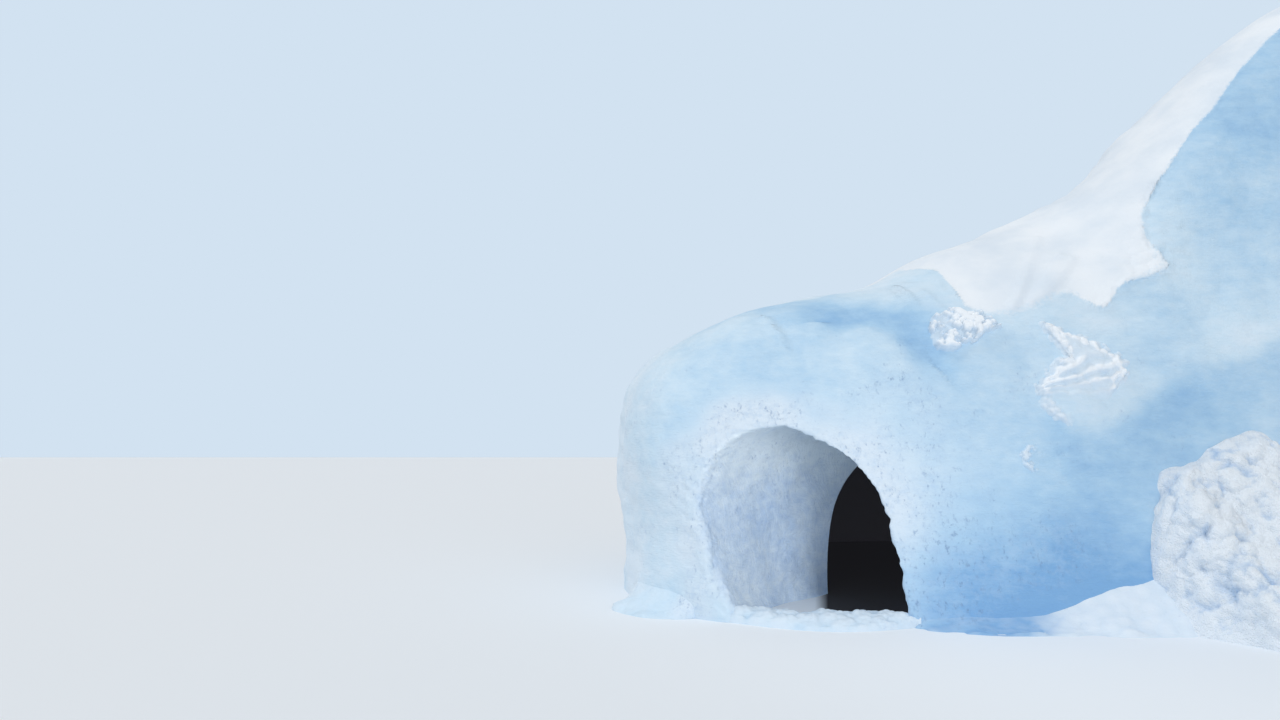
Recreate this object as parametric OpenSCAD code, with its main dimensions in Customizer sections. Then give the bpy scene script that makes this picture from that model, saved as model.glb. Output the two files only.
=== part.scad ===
// A snow igloo: a hollow mound of compacted snow with a cut front face, a carved arched
// entrance at its left end, a wind-packed drift on top and shovelled snow against its foot.
// Plan: +X right and -Y front, as seen by someone who faces the cut face. All sizes in mm.
// The outside and the chamber are both found by looking outwards from one point, the middle
// of the chamber floor: each piece is the snow between two directions, from one to the other.

/* [Main mound] */
// Half width of the mound over the chamber
dome_half_width = 4800; // [4600:50:5200]
// Half depth of the mound over the chamber
dome_half_depth = 4550; // [4300:50:5000]
// Height of the mound over the chamber
dome_height = 3680; // [3500:20:4000]

/* [Peak drift] */
// Distance of the peak to the right of the chamber's middle
peak_right = 2800; // [2600:50:3200]
// Distance of the peak in front of the chamber's middle
peak_front = 1400; // [1200:50:1600]
// Half width of the peak at its foot
peak_half_width = 4600; // [4400:50:5200]
// Half depth of the peak at its foot
peak_half_depth = 4850; // [4600:50:5400]
// Height of the peak
peak_height = 6700; // [6300:50:7400]
// Roundness of the peak: 1 is a straight-sided cone and 2 an egg shape
peak_roundness = 1.56; // [1.5:0.02:1.8]

/* [Entrance lobe] */
// Distance of the lobe's middle to the left of the chamber's middle
lobe_left = 2900; // [2700:50:3100]
// Distance of the lobe's middle in front of the chamber's middle
lobe_front = 1800; // [1600:50:2000]
// Half width of the lobe
lobe_half_width = 2380; // [2200:20:2600]
// Half depth of the lobe
lobe_half_depth = 1500; // [1400:50:1900]
// Height of the lobe
lobe_height = 2760; // [2600:20:3000]
// Height of the lobe's widest part, above which it rounds over
lobe_waist = 700; // [400:50:900]
// Turn of the lobe about its middle, in degrees
lobe_turn = 12; // [0:1:20]
// Squareness of the lobe: 2 is an egg shape and more is squarer
lobe_squareness = 3; // [2.6:0.1:3.4]

/* [Cut front face] */
// Distance from the chamber's middle to the foot of the cut face
face_front = 3750; // [3500:50:3900]
// Backward lean of the cut face for each mm of height
face_lean = 0.28; // [0.2:0.01:0.32]
// Rounding where the cut face meets the mound
face_rounding = 260; // [150:10:400]
// Rounding where the lobe and the peak grow out of the mound
mound_blend = 600; // [400:50:800]

/* [Chamber and wall thickness] */
// Distance of the low room's middle to the left of the chamber's middle
low_room_left = 750; // [600:50:850]
// Squareness of the low room: 2 is an egg shape and more is squarer
low_room_squareness = 3; // [2.6:0.1:3.2]
// Thickness of the left wall at its foot
left_wall = 1000; // [900:50:1200]
// Thickness of the cut front wall at the foot of the low room
front_wall = 1050; // [950:50:1250]
// Thickness of the cut front wall at the foot of the high room
tall_front_wall = 1550; // [1400:50:1700]
// Thickness of the right wall at its foot, under the peak's drift
right_wall = 1900; // [1700:50:2100]
// Thickness of the snow over the low room
low_roof = 1280; // [1150:20:1400]
// Thickness of the snow over the high room
high_roof = 2400; // [2200:50:2600]

/* [Entrance] */
// Middle of the mouth, to the left of the chamber's middle
mouth_left = 3900; // [3800:20:4000]
// Width of the mouth to the left of its middle
mouth_width_left = 1050; // [950:10:1100]
// Width of the mouth to the right of its middle, where its side is flatter
mouth_width_right = 760; // [700:10:850]
// Height of the widest part of the mouth
mouth_waist = 880; // [800:10:950]
// Rise of the arch above the widest part of the mouth
mouth_rise = 820; // [750:10:900]
// Sideways lean of the arch for each mm of height
mouth_lean = 0.12; // [0:0.02:0.2]
// Middle of the inner doorway, to the left of the chamber's middle
door_left = 2900; // [2800:10:3000]
// Width of the inner doorway to the left of its middle
door_width_left = 830; // [740:10:900]
// Width of the inner doorway to the right of its middle
door_width_right = 700; // [620:10:760]
// Height of the widest part of the inner doorway
door_waist = 870; // [780:10:950]
// Rise of the inner doorway's arch above its widest part
door_rise = 760; // [650:10:850]
// Sideways lean of the inner doorway for each mm of height
door_lean = -0.2; // [-0.26:0.02:0.1]
// Depth of the passage, from the foot of the cut face to the inner doorway
passage_depth = 1400; // [1250:50:1500]
// How far the passage's wall is hollowed between the mouth and the doorway
passage_hollow = 130; // [0:10:200]
// Rounding of the mouth's rim
rim_rounding = 110; // [40:10:160]

/* [Drift cap] */
// Thickness of the drift's lip where it overhangs the cut face
lip = 130; // [60:10:200]
// How far the lip hangs down over the cut face, in degrees seen from the chamber's middle
lip_hang = 2.5; // [1:0.5:4]
// How much further the drift's tongue hangs down where the tall face begins, in degrees
tongue_hang = 7; // [0:0.5:8]

/* [Shovelled snow] */
// Height of the heap against the cut face
heap_height = 1850; // [1500:50:2100]
// How far the heap stands out from the cut face at its foot
heap_depth = 1250; // [900:50:1500]
// Size of the lumps on the heap
heap_lump = 150; // [60:10:200]
// Height of the banked snow along the foot of the wall
foot_height = 260; // [200:10:400]
// How far the banked snow stands out along the foot of the wall
foot_depth = 380; // [250:10:450]
// Height of the sill across the mouth
sill_height = 90; // [60:5:120]
// Depth of the sill, from front to back
sill_depth = 380; // [260:10:450]

/* [Broken snow on the face] */
// Thickness of the broken plate
plate_thickness = 120; // [60:10:160]
// Thickness of the rough patches
patch_thickness = 90; // [50:10:120]

/* [Hidden] */
ENTRANCE = ["left_jamb", "left_haunch", "arch_crown", "right_haunch", "right_jamb"];
WALLS = ["front_wall_left", "front_wall_middle", "front_wall_tall", "front_wall_right",
         "right_wall_front", "right_wall_back", "back_wall_right", "back_wall_middle",
         "back_wall_left", "left_wall_back", "left_wall_front"];
ROOFS = ["entrance_roof", "front_drift", "peak_face_drift", "peak_drift", "back_drift_right",
         "back_drift_left", "left_drift"];
HEAPS = ["heap_left", "heap_middle", "heap_right"];

// Colours of shaded cut snow, wind-packed drift, carved entrance and shovelled snow
cut_colour = "#c6dcef";
drift_colour = "#eef4fb";
carved_colour = "#b9cbe6";
heap_colour = "#dfeaf6";

// Directions, in degrees: azimuth is counted from +X towards +Y
entrance_from = 205;
entrance_to = 241;
wall_edges = [241, 263, 285, 312, 340, 372, 406, 442, 478, 514, 541, 565];
roof_edges = [205, 241, 285, 340, 406, 478, 541, 565];
crown_elevation = 77;
azimuth_step = 4.6;
// Finer steps round the drift's tongue
tongue_from = 241;
tongue_to = 285;
tongue_step = 2.75;
tongue_tip = 266;
low_shoulder = 30;
lip_rise = 1.2;
lip_fade = 1.5;

// The shoulder's line round the back: it is higher beyond these two azimuths, and swells where
// it comes down from the tall face. Azimuths past one turn read as those of the turn before.
one_turn_from = 385;
shoulder_left_end = 198;
shoulder_right_end = 330;
shoulder_rise = 10;
swell_at = 338;
swell_height = 24;
swell_width = 18;

// The rooms follow the mound at the given wall thicknesses
low_room_half_width = dome_half_width - left_wall - low_room_left;
low_room_half_depth = face_front - front_wall;
low_room_height = dome_height - low_roof;
high_room_half_width = peak_half_width - right_wall;
high_room_half_depth = face_front - tall_front_wall;
high_room_height = peak_height - high_roof;
wall_rows = 10;
roof_rows = 8;
crown_rows = 3;

// Grid of the entrance: steps along its top, rings round the mouth and steps through the wall
arch_top_steps = 8;
arch_steps = 2 * wall_rows + arch_top_steps;
arch_edges = [0, 6, 11, 17, 22, 28];
ring_shares = [0, 0.1, 0.4, 0.7, 1];
depth_shares = [0, 0.1, 0.4, 0.7, 1];
foot_angle = 30;
side_flatness = 1.5;
door_front = face_front - passage_depth;
room_blend = 500;

far_away = 12000;
search_steps = 24;

// Smooth union and smooth intersection of two depths, rounded over the length k
function join(a, b, k) = (a + b + sqrt((a - b) * (a - b) + k * k)) / 2;
function meet(a, b, k) = (a + b - sqrt((a - b) * (a - b) + k * k)) / 2;
// Rises from 0 to 1 as x passes from below to above, over a few times width
function step_up(x, width) = 1 / (1 + exp(-x / width));
// A hill of height 1 and the given width
function hill(x, width) = exp(-x * x / (width * width));

// Depth of a point inside a rounded mound, and below 0 outside it
function mound(p, centre, size, e) =
    let (q = [for (k = [0:2]) pow(abs((p[k] - centre[k]) / size[k]), e)])
    min(size) * (1 - pow(q[0] + q[1] + q[2], 1 / e));

function turned(p, centre, angle) =
    let (d = p - centre)
    centre + [d.x * cos(angle) + d.y * sin(angle), d.y * cos(angle) - d.x * sin(angle), d.z];

lobe_centre = [-lobe_left, -lobe_front, lobe_waist];

// Depth of a point inside the uncut mound: dome, lobe and peak
mound_depth = function (p)
    let (
        dome = mound(p, [0, 0, 0], [dome_half_width, dome_half_depth, dome_height], 2),
        lobe = mound(turned(p, lobe_centre, lobe_turn), lobe_centre,
                     [lobe_half_width, lobe_half_depth, lobe_height - lobe_waist], lobe_squareness),
        peak = mound(p, [peak_right, -peak_front, 0],
                     [peak_half_width, peak_half_depth, peak_height], peak_roundness)
    )
    join(join(dome, lobe, mound_blend), peak, mound_blend);

// Depth of a point behind the plane of the cut face
function face_y(z) = -face_front + face_lean * z;
function face_depth(p) = (p.y - face_y(p.z)) / sqrt(1 + face_lean * face_lean);

// Depth of a point inside the outside form
outside_depth = function (p) meet(mound_depth(p), face_depth(p), face_rounding);

// Depth of a point inside the chamber: a low room and a high room that flow together
chamber_depth = function (p)
    join(mound(p, [-low_room_left, 0, 0],
               [low_room_half_width, low_room_half_depth, low_room_height], low_room_squareness),
         mound(p, [peak_right, 0, 0],
               [high_room_half_width, high_room_half_depth, high_room_height], 2),
         room_blend);

function direction(azimuth, elevation) =
    [cos(azimuth) * cos(elevation), sin(azimuth) * cos(elevation), sin(elevation)];
function azimuth_of(p) = let (a = atan2(p.y, p.x)) a < 0 ? a + 360 : a;
function elevation_of(p) = atan2(p.z, norm([p.x, p.y]));

// Distance to a surface along a direction, by halving the stretch that it lies in
function reach(depth, d, near, far, steps) =
    let (middle = (near + far) / 2)
    steps == 0 ? middle
    : depth(d * middle) > 0 ? reach(depth, d, middle, far, steps - 1)
    : reach(depth, d, near, middle, steps - 1);

function outside(azimuth, elevation, extra = 0) =
    let (d = direction(azimuth, elevation))
    d * (reach(outside_depth, d, 0, far_away, search_steps) + extra);
function chamber(azimuth, elevation) =
    let (d = direction(azimuth, elevation))
    d * reach(chamber_depth, d, 0, far_away, search_steps);

// Elevation of the ridge where the cut face meets the mound, found by halving: below it, the
// face is nearer than the mound along a direction. It stays at low where no face is seen.
function ridge(azimuth, low, high, steps) =
    let (
        middle = (low + high) / 2,
        d = direction(azimuth, middle),
        towards = face_lean * d.z - d.y,
        on_face = towards > 0 && mound_depth(d * min(far_away, face_front / towards)) > 0
    )
    steps == 0 ? middle
    : on_face ? ridge(azimuth, middle, high, steps - 1)
    : ridge(azimuth, low, middle, steps - 1);

// Elevation of the shoulder: the ridge along the front, and a gentle line round the back
// that comes down from the tall face's right end
function shoulder(azimuth) =
    let (
        a = azimuth > one_turn_from ? azimuth - 360 : azimuth,
        in_front = step_up(a - shoulder_left_end, 3) * step_up(shoulder_right_end - a, 4)
    )
    join(ridge(a, low_shoulder, 75, 12),
         low_shoulder - 2 + shoulder_rise * (1 - in_front)
         + swell_height * hill(a - swell_at, swell_width), 2);

// Elevation of the crest, where the wall ends and the drift begins: the drift hangs over the
// ridge, and furthest where its tongue comes down at the start of the tall face
function crest(azimuth) =
    shoulder(azimuth) - lip_hang - tongue_hang * hill(azimuth - tongue_tip, 6);

// Overhang of the drift's lip, full along the front and small elsewhere
function lip_at(azimuth) = 20 + lip * hill(azimuth - tongue_tip, 34);

// Triangles of a closed block from its grid of points: i runs anticlockwise round the plan,
// j upwards or away from the mouth, and k from the outside inwards
function at(i, j, k, nj, nk) = (i * nj + j) * nk + k;
function quad(a, b, c, d) = [[a, c, b], [a, d, c]];
function block_faces(ni, nj, nk) = [
    for (i = [0:ni - 2], j = [0:nj - 2]) each concat(
        quad(at(i, j, 0, nj, nk), at(i + 1, j, 0, nj, nk),
             at(i + 1, j + 1, 0, nj, nk), at(i, j + 1, 0, nj, nk)),
        quad(at(i, j, nk - 1, nj, nk), at(i, j + 1, nk - 1, nj, nk),
             at(i + 1, j + 1, nk - 1, nj, nk), at(i + 1, j, nk - 1, nj, nk))),
    for (i = [0:ni - 2], k = [0:nk - 2]) each concat(
        quad(at(i, 0, k, nj, nk), at(i, 0, k + 1, nj, nk),
             at(i + 1, 0, k + 1, nj, nk), at(i + 1, 0, k, nj, nk)),
        quad(at(i, nj - 1, k, nj, nk), at(i + 1, nj - 1, k, nj, nk),
             at(i + 1, nj - 1, k + 1, nj, nk), at(i, nj - 1, k + 1, nj, nk))),
    for (j = [0:nj - 2], k = [0:nk - 2]) each concat(
        quad(at(0, j, k, nj, nk), at(0, j + 1, k, nj, nk),
             at(0, j + 1, k + 1, nj, nk), at(0, j, k + 1, nj, nk)),
        quad(at(ni - 1, j, k, nj, nk), at(ni - 1, j, k + 1, nj, nk),
             at(ni - 1, j + 1, k + 1, nj, nk), at(ni - 1, j + 1, k, nj, nk)))
];

// A closed block from points[i][j][k]
module block(points) {
    ni = len(points);
    nj = len(points[0]);
    nk = len(points[0][0]);
    polyhedron([for (row = points, column = row, p = column) p], block_faces(ni, nj, nk));
}

// Even stations from one value to another
function stations(from, to, steps) = [for (n = [0:steps]) from + (to - from) * n / steps];
function azimuth_steps(from, to) =
    round((to - from) / (from >= tongue_from && to <= tongue_to ? tongue_step : azimuth_step));

// One segment of the wall, from the ground up to the crest
module wall_segment(from, to) {
    block([for (a = stations(from, to, azimuth_steps(from, to)))
        let (top = crest(a))
        [for (e = stations(0, top, wall_rows)) [outside(a, e), chamber(a, e)]]]);
}

// One segment of the drift, from the crest up to the crown: its lowest face rests on the
// wall, its lip stands out over the wall, and one row of its points follows the shoulder
module roof_segment(from, to) {
    block([for (a = roof_stations(from, to))
        let (
            low = crest(a),
            middle = shoulder(a),
            rows = concat([low, low + lip_rise], stations(middle, crown_elevation, roof_rows - 2))
        )
        [for (n = [0:roof_rows])
            [outside(a, rows[n], n == 0 ? 0 : lip_at(a) * pow(1 - (n - 1) / (roof_rows - 1), lip_fade)),
             chamber(a, rows[n])]]]);
}

// Stations of a roof segment: those of the walls or of the arch below it, so that faces meet
function roof_stations(from, to) =
    from == entrance_from ? stations(from, to, arch_top_steps)
    : let (lower = [for (e = wall_edges) if (e >= from && e <= to) e])
      [for (n = [0:len(lower) - 2])
           let (s = stations(lower[n], lower[n + 1], azimuth_steps(lower[n], lower[n + 1])))
           for (m = [(n == 0 ? 0 : 1):len(s) - 1]) s[m]];

// The round plug of snow over the middle of the chamber
module crown() {
    around = [for (n = [0:len(roof_edges) - 2])
        let (s = roof_stations(roof_edges[n], roof_edges[n + 1]))
        for (m = [0:len(s) - 2]) s[m]];
    count = len(around);
    rings = stations(crown_elevation, 90, crown_rows);
    outer = [for (r = [0:crown_rows - 1], a = around) outside(a, rings[r])];
    inner = [for (r = [0:crown_rows - 1], a = around) chamber(a, rings[r])];
    ring_points = count * crown_rows;
    top = 2 * ring_points;
    bottom = top + 1;
    function outer_at(r, n) = r * count + n % count;
    function inner_at(r, n) = ring_points + r * count + n % count;
    color(drift_colour)
    polyhedron(
        concat(outer, inner, [outside(0, 90), chamber(0, 90)]),
        [for (n = [0:count - 1]) each concat(
            [for (r = [0:crown_rows - 2]) each concat(
                quad(outer_at(r, n), outer_at(r, n + 1),
                     outer_at(r + 1, n + 1), outer_at(r + 1, n)),
                quad(inner_at(r, n), inner_at(r + 1, n),
                     inner_at(r + 1, n + 1), inner_at(r, n + 1)))],
            [[outer_at(crown_rows - 1, n), top, outer_at(crown_rows - 1, n + 1)],
             [inner_at(crown_rows - 1, n), inner_at(crown_rows - 1, n + 1), bottom]],
            quad(outer_at(0, n), inner_at(0, n), inner_at(0, n + 1), outer_at(0, n + 1)))]);
}

// Outline of the leaning arch, from its left foot at an angle over 180 degrees to its right
// foot at one below 0: its left side is round and narrows to the foot, its right side is
// flatter above its waist and upright below it
function arch_point(angle, middle, left, right, waist, rise, lean) =
    let (
        height = waist + sin(angle) * (sin(angle) > 0 ? rise : waist / sin(foot_angle)),
        across = angle > 90 ? left * cos(angle)
            : angle > 0 ? right * pow(cos(angle), side_flatness) : right
    )
    [middle + across + lean * (waist - height), max(height, 0)];
function arch_angle(n) = 180 + foot_angle - (180 + 2 * foot_angle) * n / arch_steps;

function mouth_target(n) =
    let (q = arch_point(arch_angle(n), -mouth_left, mouth_width_left, mouth_width_right,
                        mouth_waist, mouth_rise, mouth_lean))
    [q[0], face_y(q[1]), q[1]];
function door_target(n) =
    let (q = arch_point(arch_angle(n), -door_left, door_width_left, door_width_right,
                        door_waist, door_rise, door_lean))
    [q[0], -door_front, q[1]];

// Direction of the entrance's outer edge: up its left side, along the crest, down its right
function edge_direction(n) =
    n <= wall_rows ? [entrance_from, crest(entrance_from) * n / wall_rows]
    : n >= arch_steps - wall_rows
        ? [entrance_to, crest(entrance_to) * (arch_steps - n) / wall_rows]
    : let (a = entrance_from + (entrance_to - entrance_from) * (n - wall_rows) / arch_top_steps)
      [a, crest(a)];

function between(a, b, share) = a + (b - a) * share;

// Points of the entrance at arch step n: rings from the mouth's rim to the outer edge, each
// with points from the outside to the chamber. The passage's wall is hollowed, and the rim
// is rounded by drawing its edge in towards its two neighbours.
function entrance_column(n) =
    let (
        mouth = [azimuth_of(mouth_target(n)), elevation_of(mouth_target(n))],
        door = [azimuth_of(door_target(n)), elevation_of(door_target(n))],
        edge = edge_direction(n),
        angle = arch_angle(n),
        outwards = [cos(angle) * 0.8, -cos(angle) * 0.6, max(sin(angle), 0)],
        plain = [for (ring = ring_shares)
            let (
                outer_way = between(mouth, edge, ring),
                inner_way = between(door, edge, ring),
                outer = outside(outer_way[0], outer_way[1]),
                inner = chamber(inner_way[0], inner_way[1])
            )
            [for (depth = depth_shares)
                between(outer, inner, depth)
                + outwards * passage_hollow * sin(180 * depth) * (1 - ring)]],
        middle = (plain[0][1] + plain[1][0]) / 2,
        corner = plain[0][0],
        pull = min(1, rim_rounding / max(1, norm(middle - corner)))
    )
    [for (r = [0:len(ring_shares) - 1])
        [for (d = [0:len(depth_shares) - 1])
            r == 0 && d == 0 ? between(corner, middle, pull * 0.8) : plain[r][d]]];

module entrance_piece(from, to) {
    block([for (n = [from:to]) entrance_column(n)]);
}

// A point on the flat facets of the wall in about the given direction, so that what leans
// on the wall lies face to face with it
function wall_facet(azimuth, elevation) =
    let (
        segment = max([for (n = [0:len(WALLS) - 1]) if (wall_edges[n] <= azimuth) n]),
        from = wall_edges[segment],
        steps = azimuth_steps(from, wall_edges[segment + 1]),
        step = (wall_edges[segment + 1] - from) / steps,
        u = (azimuth - from) / step,
        i = min(floor(u), steps - 1),
        fu = u - i,
        near_top = crest(from + i * step),
        far_top = crest(from + (i + 1) * step),
        v = wall_rows * elevation / between(near_top, far_top, fu),
        j = min(floor(v), wall_rows - 1),
        fv = v - j,
        corner = function (m, n)
            outside(from + (i + m) * step, (m == 0 ? near_top : far_top) * (j + n) / wall_rows),
        low = corner(0, 0),
        high = corner(1, 1),
        side = fu > fv ? corner(1, 0) : corner(0, 1)
    )
    low + (side - low) * max(fu, fv) + (high - side) * min(fu, fv);

// Even but irregular heights between -1 and 1 that look like shovelled lumps
function lumps(u, v) =
    (sin(u * 137 + v * 61) + sin(u * 71 - v * 149 + 40) + sin(u * 229 + v * 97 + 110)) / 3;

// The heap leans on the cut face between two azimuths, in three parts
heap_edges = [256, 263, 285, 303];
heap_rows = 10;
heap_step = 1.3;
// The smaller, the fuller the heap's ends; and how its slope bends from foot to top
heap_fullness = 0.45;
heap_slope = 0.8;

// Height share of the heap along its length, from 0 at its ends to 1
function heap_profile(x) = pow(max(0, sin(180 * min(1, max(0, x)))), heap_fullness);
function heap_along(a) = (a - heap_edges[0]) / (heap_edges[3] - heap_edges[0]);

// Elevation that the heap reaches up to on the wall
function heap_top(a) =
    let (height = heap_height * (0.35 + 0.65 * heap_profile(0.1 + 0.8 * heap_along(a))))
    atan2(height, face_front / abs(sin(a)));

function heap_point(a, share, top) =
    let (
        base = wall_facet(a, share * top),
        out = max(60, heap_depth * heap_profile(0.04 + 0.92 * heap_along(a)) * pow(1 - share, heap_slope)
                      + heap_lump * lumps(a / 5, share * 3.5) * (share > 0 ? 1 : 0.4))
    )
    base + [cos(a), sin(a), 0] * out;

function heap_stations(n) =
    stations(heap_edges[n], heap_edges[n + 1],
             round((heap_edges[n + 1] - heap_edges[n]) / heap_step));

module heap(n) {
    color(heap_colour)
    block([for (a = heap_stations(n))
        let (top = heap_top(a))
        [for (share = stations(0, 1, heap_rows))
            [heap_point(a, share, top), wall_facet(a, share * top)]]]);
}

// A point on the flat facets of the entrance's outside: n counts arch steps and r rings
function entrance_facet(n, r) =
    let (
        i = min(floor(n), arch_steps - 1),
        j = min(floor(r), len(ring_shares) - 2),
        fi = n - i,
        fj = r - j,
        low = entrance_column(i)[j][0],
        high = entrance_column(i + 1)[j + 1][0]
    )
    fi > fj ? let (side = entrance_column(i + 1)[j][0])
        low + (side - low) * fi + (high - side) * fj
    : let (side = entrance_column(i)[j + 1][0]) low + (side - low) * fj + (high - side) * fi;

// How hollow the banks' slope is: 1 is straight
bank_slope = 1.9;

// A bank of loose snow on the foot of a wall: rows of base points run up the wall, and the
// bank stands out most at the ground. Its fullness there is 1 along a bank and less at an end.
bank_end = 0.3;
function bank_column(bases, seed, fullness) =
    let (last = len(bases) - 1)
    [for (m = [0:last])
        let (
            a = azimuth_of([bases[m].x, bases[m].y, 0]),
            out = 25 + foot_depth * fullness * pow(1 - m / last, bank_slope)
                  * (1 + 0.25 * (m == 0 ? 0.4 : 1) * lumps(seed, m * 3))
        )
        [bases[m] + [cos(a), sin(a), 0] * out, bases[m]]];

// Share of the way up at which a bank ends, for a foot point whose next row up is at height h
function bank_top(h) = foot_height / max(1, h);

module foot_bank_left() {
    rings = stations(len(ring_shares) - 1, 1.5, 5);
    color(heap_colour)
    block([for (n = [0:5])
        let (r = rings[n], top = bank_top(entrance_facet(1, r).z))
        bank_column([for (m = [0:4]) entrance_facet(top * m / 4, r)], r * 2,
                    bank_end + (1 - bank_end) * sin(36 * n))]);
}

module foot_bank_right() {
    rings = stations(1, len(ring_shares) - 1, 5);
    color(heap_colour)
    block([for (n = [0:5])
        let (r = rings[n], top = bank_top(entrance_facet(arch_steps - 1, r).z))
        bank_column([for (m = [0:4]) entrance_facet(arch_steps - top * m / 4, r)], r * 2 + 9,
                    bank_end + (1 - bank_end) * sin(18 * n))]);
}

module foot_bank_middle() {
    color(heap_colour)
    block([for (a = stations(entrance_to, heap_edges[0], 5))
        let (
            towards_heap = (a - entrance_to) / (heap_edges[0] - entrance_to),
            top = atan2(foot_height * (1 + towards_heap), face_front / abs(sin(a)))
        )
        bank_column([for (m = [0:4]) wall_facet(a, top * m / 4)], a / 3, 1)]);
}

// The crumbly sill between the feet of the mouth: its ends lie on the passage's two walls
module door_sill() {
    left = [entrance_column(0)[0], entrance_column(1)[0]];
    right = [entrance_column(arch_steps)[0], entrance_column(arch_steps - 1)[0]];
    function wall_at(side, height, k) =
        let (low = side[0][k], high = side[1][k]) low + (high - low) * height / high.z;
    color(heap_colour)
    block([for (m = [0:8])
        [for (row = [0, 1])
            [for (k = [0, 1])
                let (
                    height = row * sill_height * (m == 0 || m == 8 ? 1 : 1 + 0.35 * lumps(m * 2, 5)),
                    a = wall_at(left, row * sill_height, k),
                    b = wall_at(right, row * sill_height, k),
                    p = between(a, b, m / 8),
                    belly = sin(180 * m / 8) * sill_depth * (k == 0 ? -0.4 : 0.1)
                )
                [p.x, p.y + belly * (row == 0 ? 1 : 0.7), height]]]]);
}

// A flake of snow on the face: base(x, y) gives the face's point for x and y from -1 to 1
function flake_thickness(x, y, thickness) =
    thickness * (0.3 + 0.7 * (1 - pow(abs(x), 3)) * (1 - pow(abs(y), 3)))
    * (1 + 0.35 * lumps(x * 3 + 7, y * 4));
function flake_point(base, x, y, thickness) =
    let (a = azimuth_of([base.x, base.y, 0]))
    [base + [cos(a), sin(a), 0.25] * flake_thickness(x, y, thickness), base];

// The broken plate is broad in its middle and narrow at its top and foot: its middle and half
// size are given as azimuth and elevation
plate_middle = [248.9, 31.7];
plate_half = [5.9, 6.6];
plate_taper = 0.5;
module broken_plate() {
    color(drift_colour)
    block([for (x = stations(-1, 1, 8))
        [for (y = stations(-1, 1, 8))
            let (width = 1 - plate_taper * pow(abs(y), 1.5),
                 base = wall_facet(plate_middle[0] + plate_half[0] * (x * width - 0.1 * y * y),
                                   plate_middle[1] + plate_half[1] * (y + 0.1 * x)))
            flake_point(base, x, y, plate_thickness)]]);
}

// The rough patch hangs under the crest over the mouth's right side
patch_columns = [15.3, 17.6];
patch_rings = [3.05, 3.95];
module rough_patch() {
    color(drift_colour)
    block([for (x = stations(-1, 1, 7))
        [for (y = stations(-1, 1, 5))
            let (n = between(patch_columns[0], patch_columns[1], (x + 1) / 2),
                 r = between(patch_rings[0], patch_rings[1],
                             (y + 1) / 2 * (1 - 0.2 * x * x) + 0.2 * x * x))
            flake_point(entrance_facet(n, r), x, y, patch_thickness)]]);
}

small_patch_middle = [242.8, 19.8];
small_patch_half = [1.5, 2.2];
module small_patch() {
    color(drift_colour)
    block([for (x = stations(-1, 1, 4))
        [for (y = stations(-1, 1, 4))
            let (base = wall_facet(small_patch_middle[0] + small_patch_half[0] * x * (1 - 0.2 * y * y),
                                   small_patch_middle[1] + small_patch_half[1] * y * (1 - 0.2 * x * x)))
            flake_point(base, x, y, patch_thickness)]]);
}

// The origin is the middle of the foot of the whole, so the extent of the foot is measured
ground_ring = [for (a = [0:4:356]) outside(a, 0)];
heap_foot = [for (n = [0:2], a = heap_stations(n)) heap_point(a, 0, heap_top(a))];
foot = concat(ground_ring, heap_foot);
foot_middle = [for (k = [0:1])
    (min([for (p = foot) p[k]]) + max([for (p = foot) p[k]])) / 2];

translate([-foot_middle[0], -foot_middle[1], 0]) {
    for (n = [0:4])
        color(n == 2 ? cut_colour : carved_colour)
                entrance_piece(arch_edges[n], arch_edges[n + 1]);
    for (n = [0:10])
        color(cut_colour) wall_segment(wall_edges[n], wall_edges[n + 1]);
    for (n = [0:6])
        color(drift_colour) roof_segment(roof_edges[n], roof_edges[n + 1]);
    for (n = [0:2])
        heap(n);
    crown();
    foot_bank_left();
    foot_bank_right();
    foot_bank_middle();
    door_sill();
    broken_plate();
    rough_patch();
    small_patch();
}
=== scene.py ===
# %% [markdown]
# # A snow igloo, dressed in Blender
# The frame is a hollow mound of compacted snow in 34 solids. This lesson gives each solid a finer
# skin and the finish of its kind of snow. Blender works in metres, +Z is up, and the front of
# the igloo looks towards -Y.

# %% Load the frame
from functools import partial
import bpy
import numpy as np
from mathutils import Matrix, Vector
from types import SimpleNamespace


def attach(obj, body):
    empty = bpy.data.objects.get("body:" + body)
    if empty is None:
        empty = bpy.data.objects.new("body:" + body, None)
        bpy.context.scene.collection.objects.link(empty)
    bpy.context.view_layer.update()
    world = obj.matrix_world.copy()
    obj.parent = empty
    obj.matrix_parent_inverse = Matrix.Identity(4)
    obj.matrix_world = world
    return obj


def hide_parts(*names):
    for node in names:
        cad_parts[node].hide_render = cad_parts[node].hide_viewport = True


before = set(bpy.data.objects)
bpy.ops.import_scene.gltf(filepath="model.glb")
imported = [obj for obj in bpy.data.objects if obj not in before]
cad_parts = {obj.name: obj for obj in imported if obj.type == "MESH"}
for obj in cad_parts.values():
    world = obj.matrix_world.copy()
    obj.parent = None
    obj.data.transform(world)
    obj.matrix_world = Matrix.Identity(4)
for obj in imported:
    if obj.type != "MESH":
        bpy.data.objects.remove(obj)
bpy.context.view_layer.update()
print("solids in the frame:", len(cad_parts))

# %% [markdown]
# ## The form of the mound
# A snow mound has no edges to model by hand: it is a few soft heaps that grow into each other.
# Each heap is a function that says how deep a point lies inside it. Two heaps are joined by the
# larger depth, and the cut face takes the smaller one, both with a rounded change-over. The
# sizes are those of the frame, in metres from the middle of the chamber floor.

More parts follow.
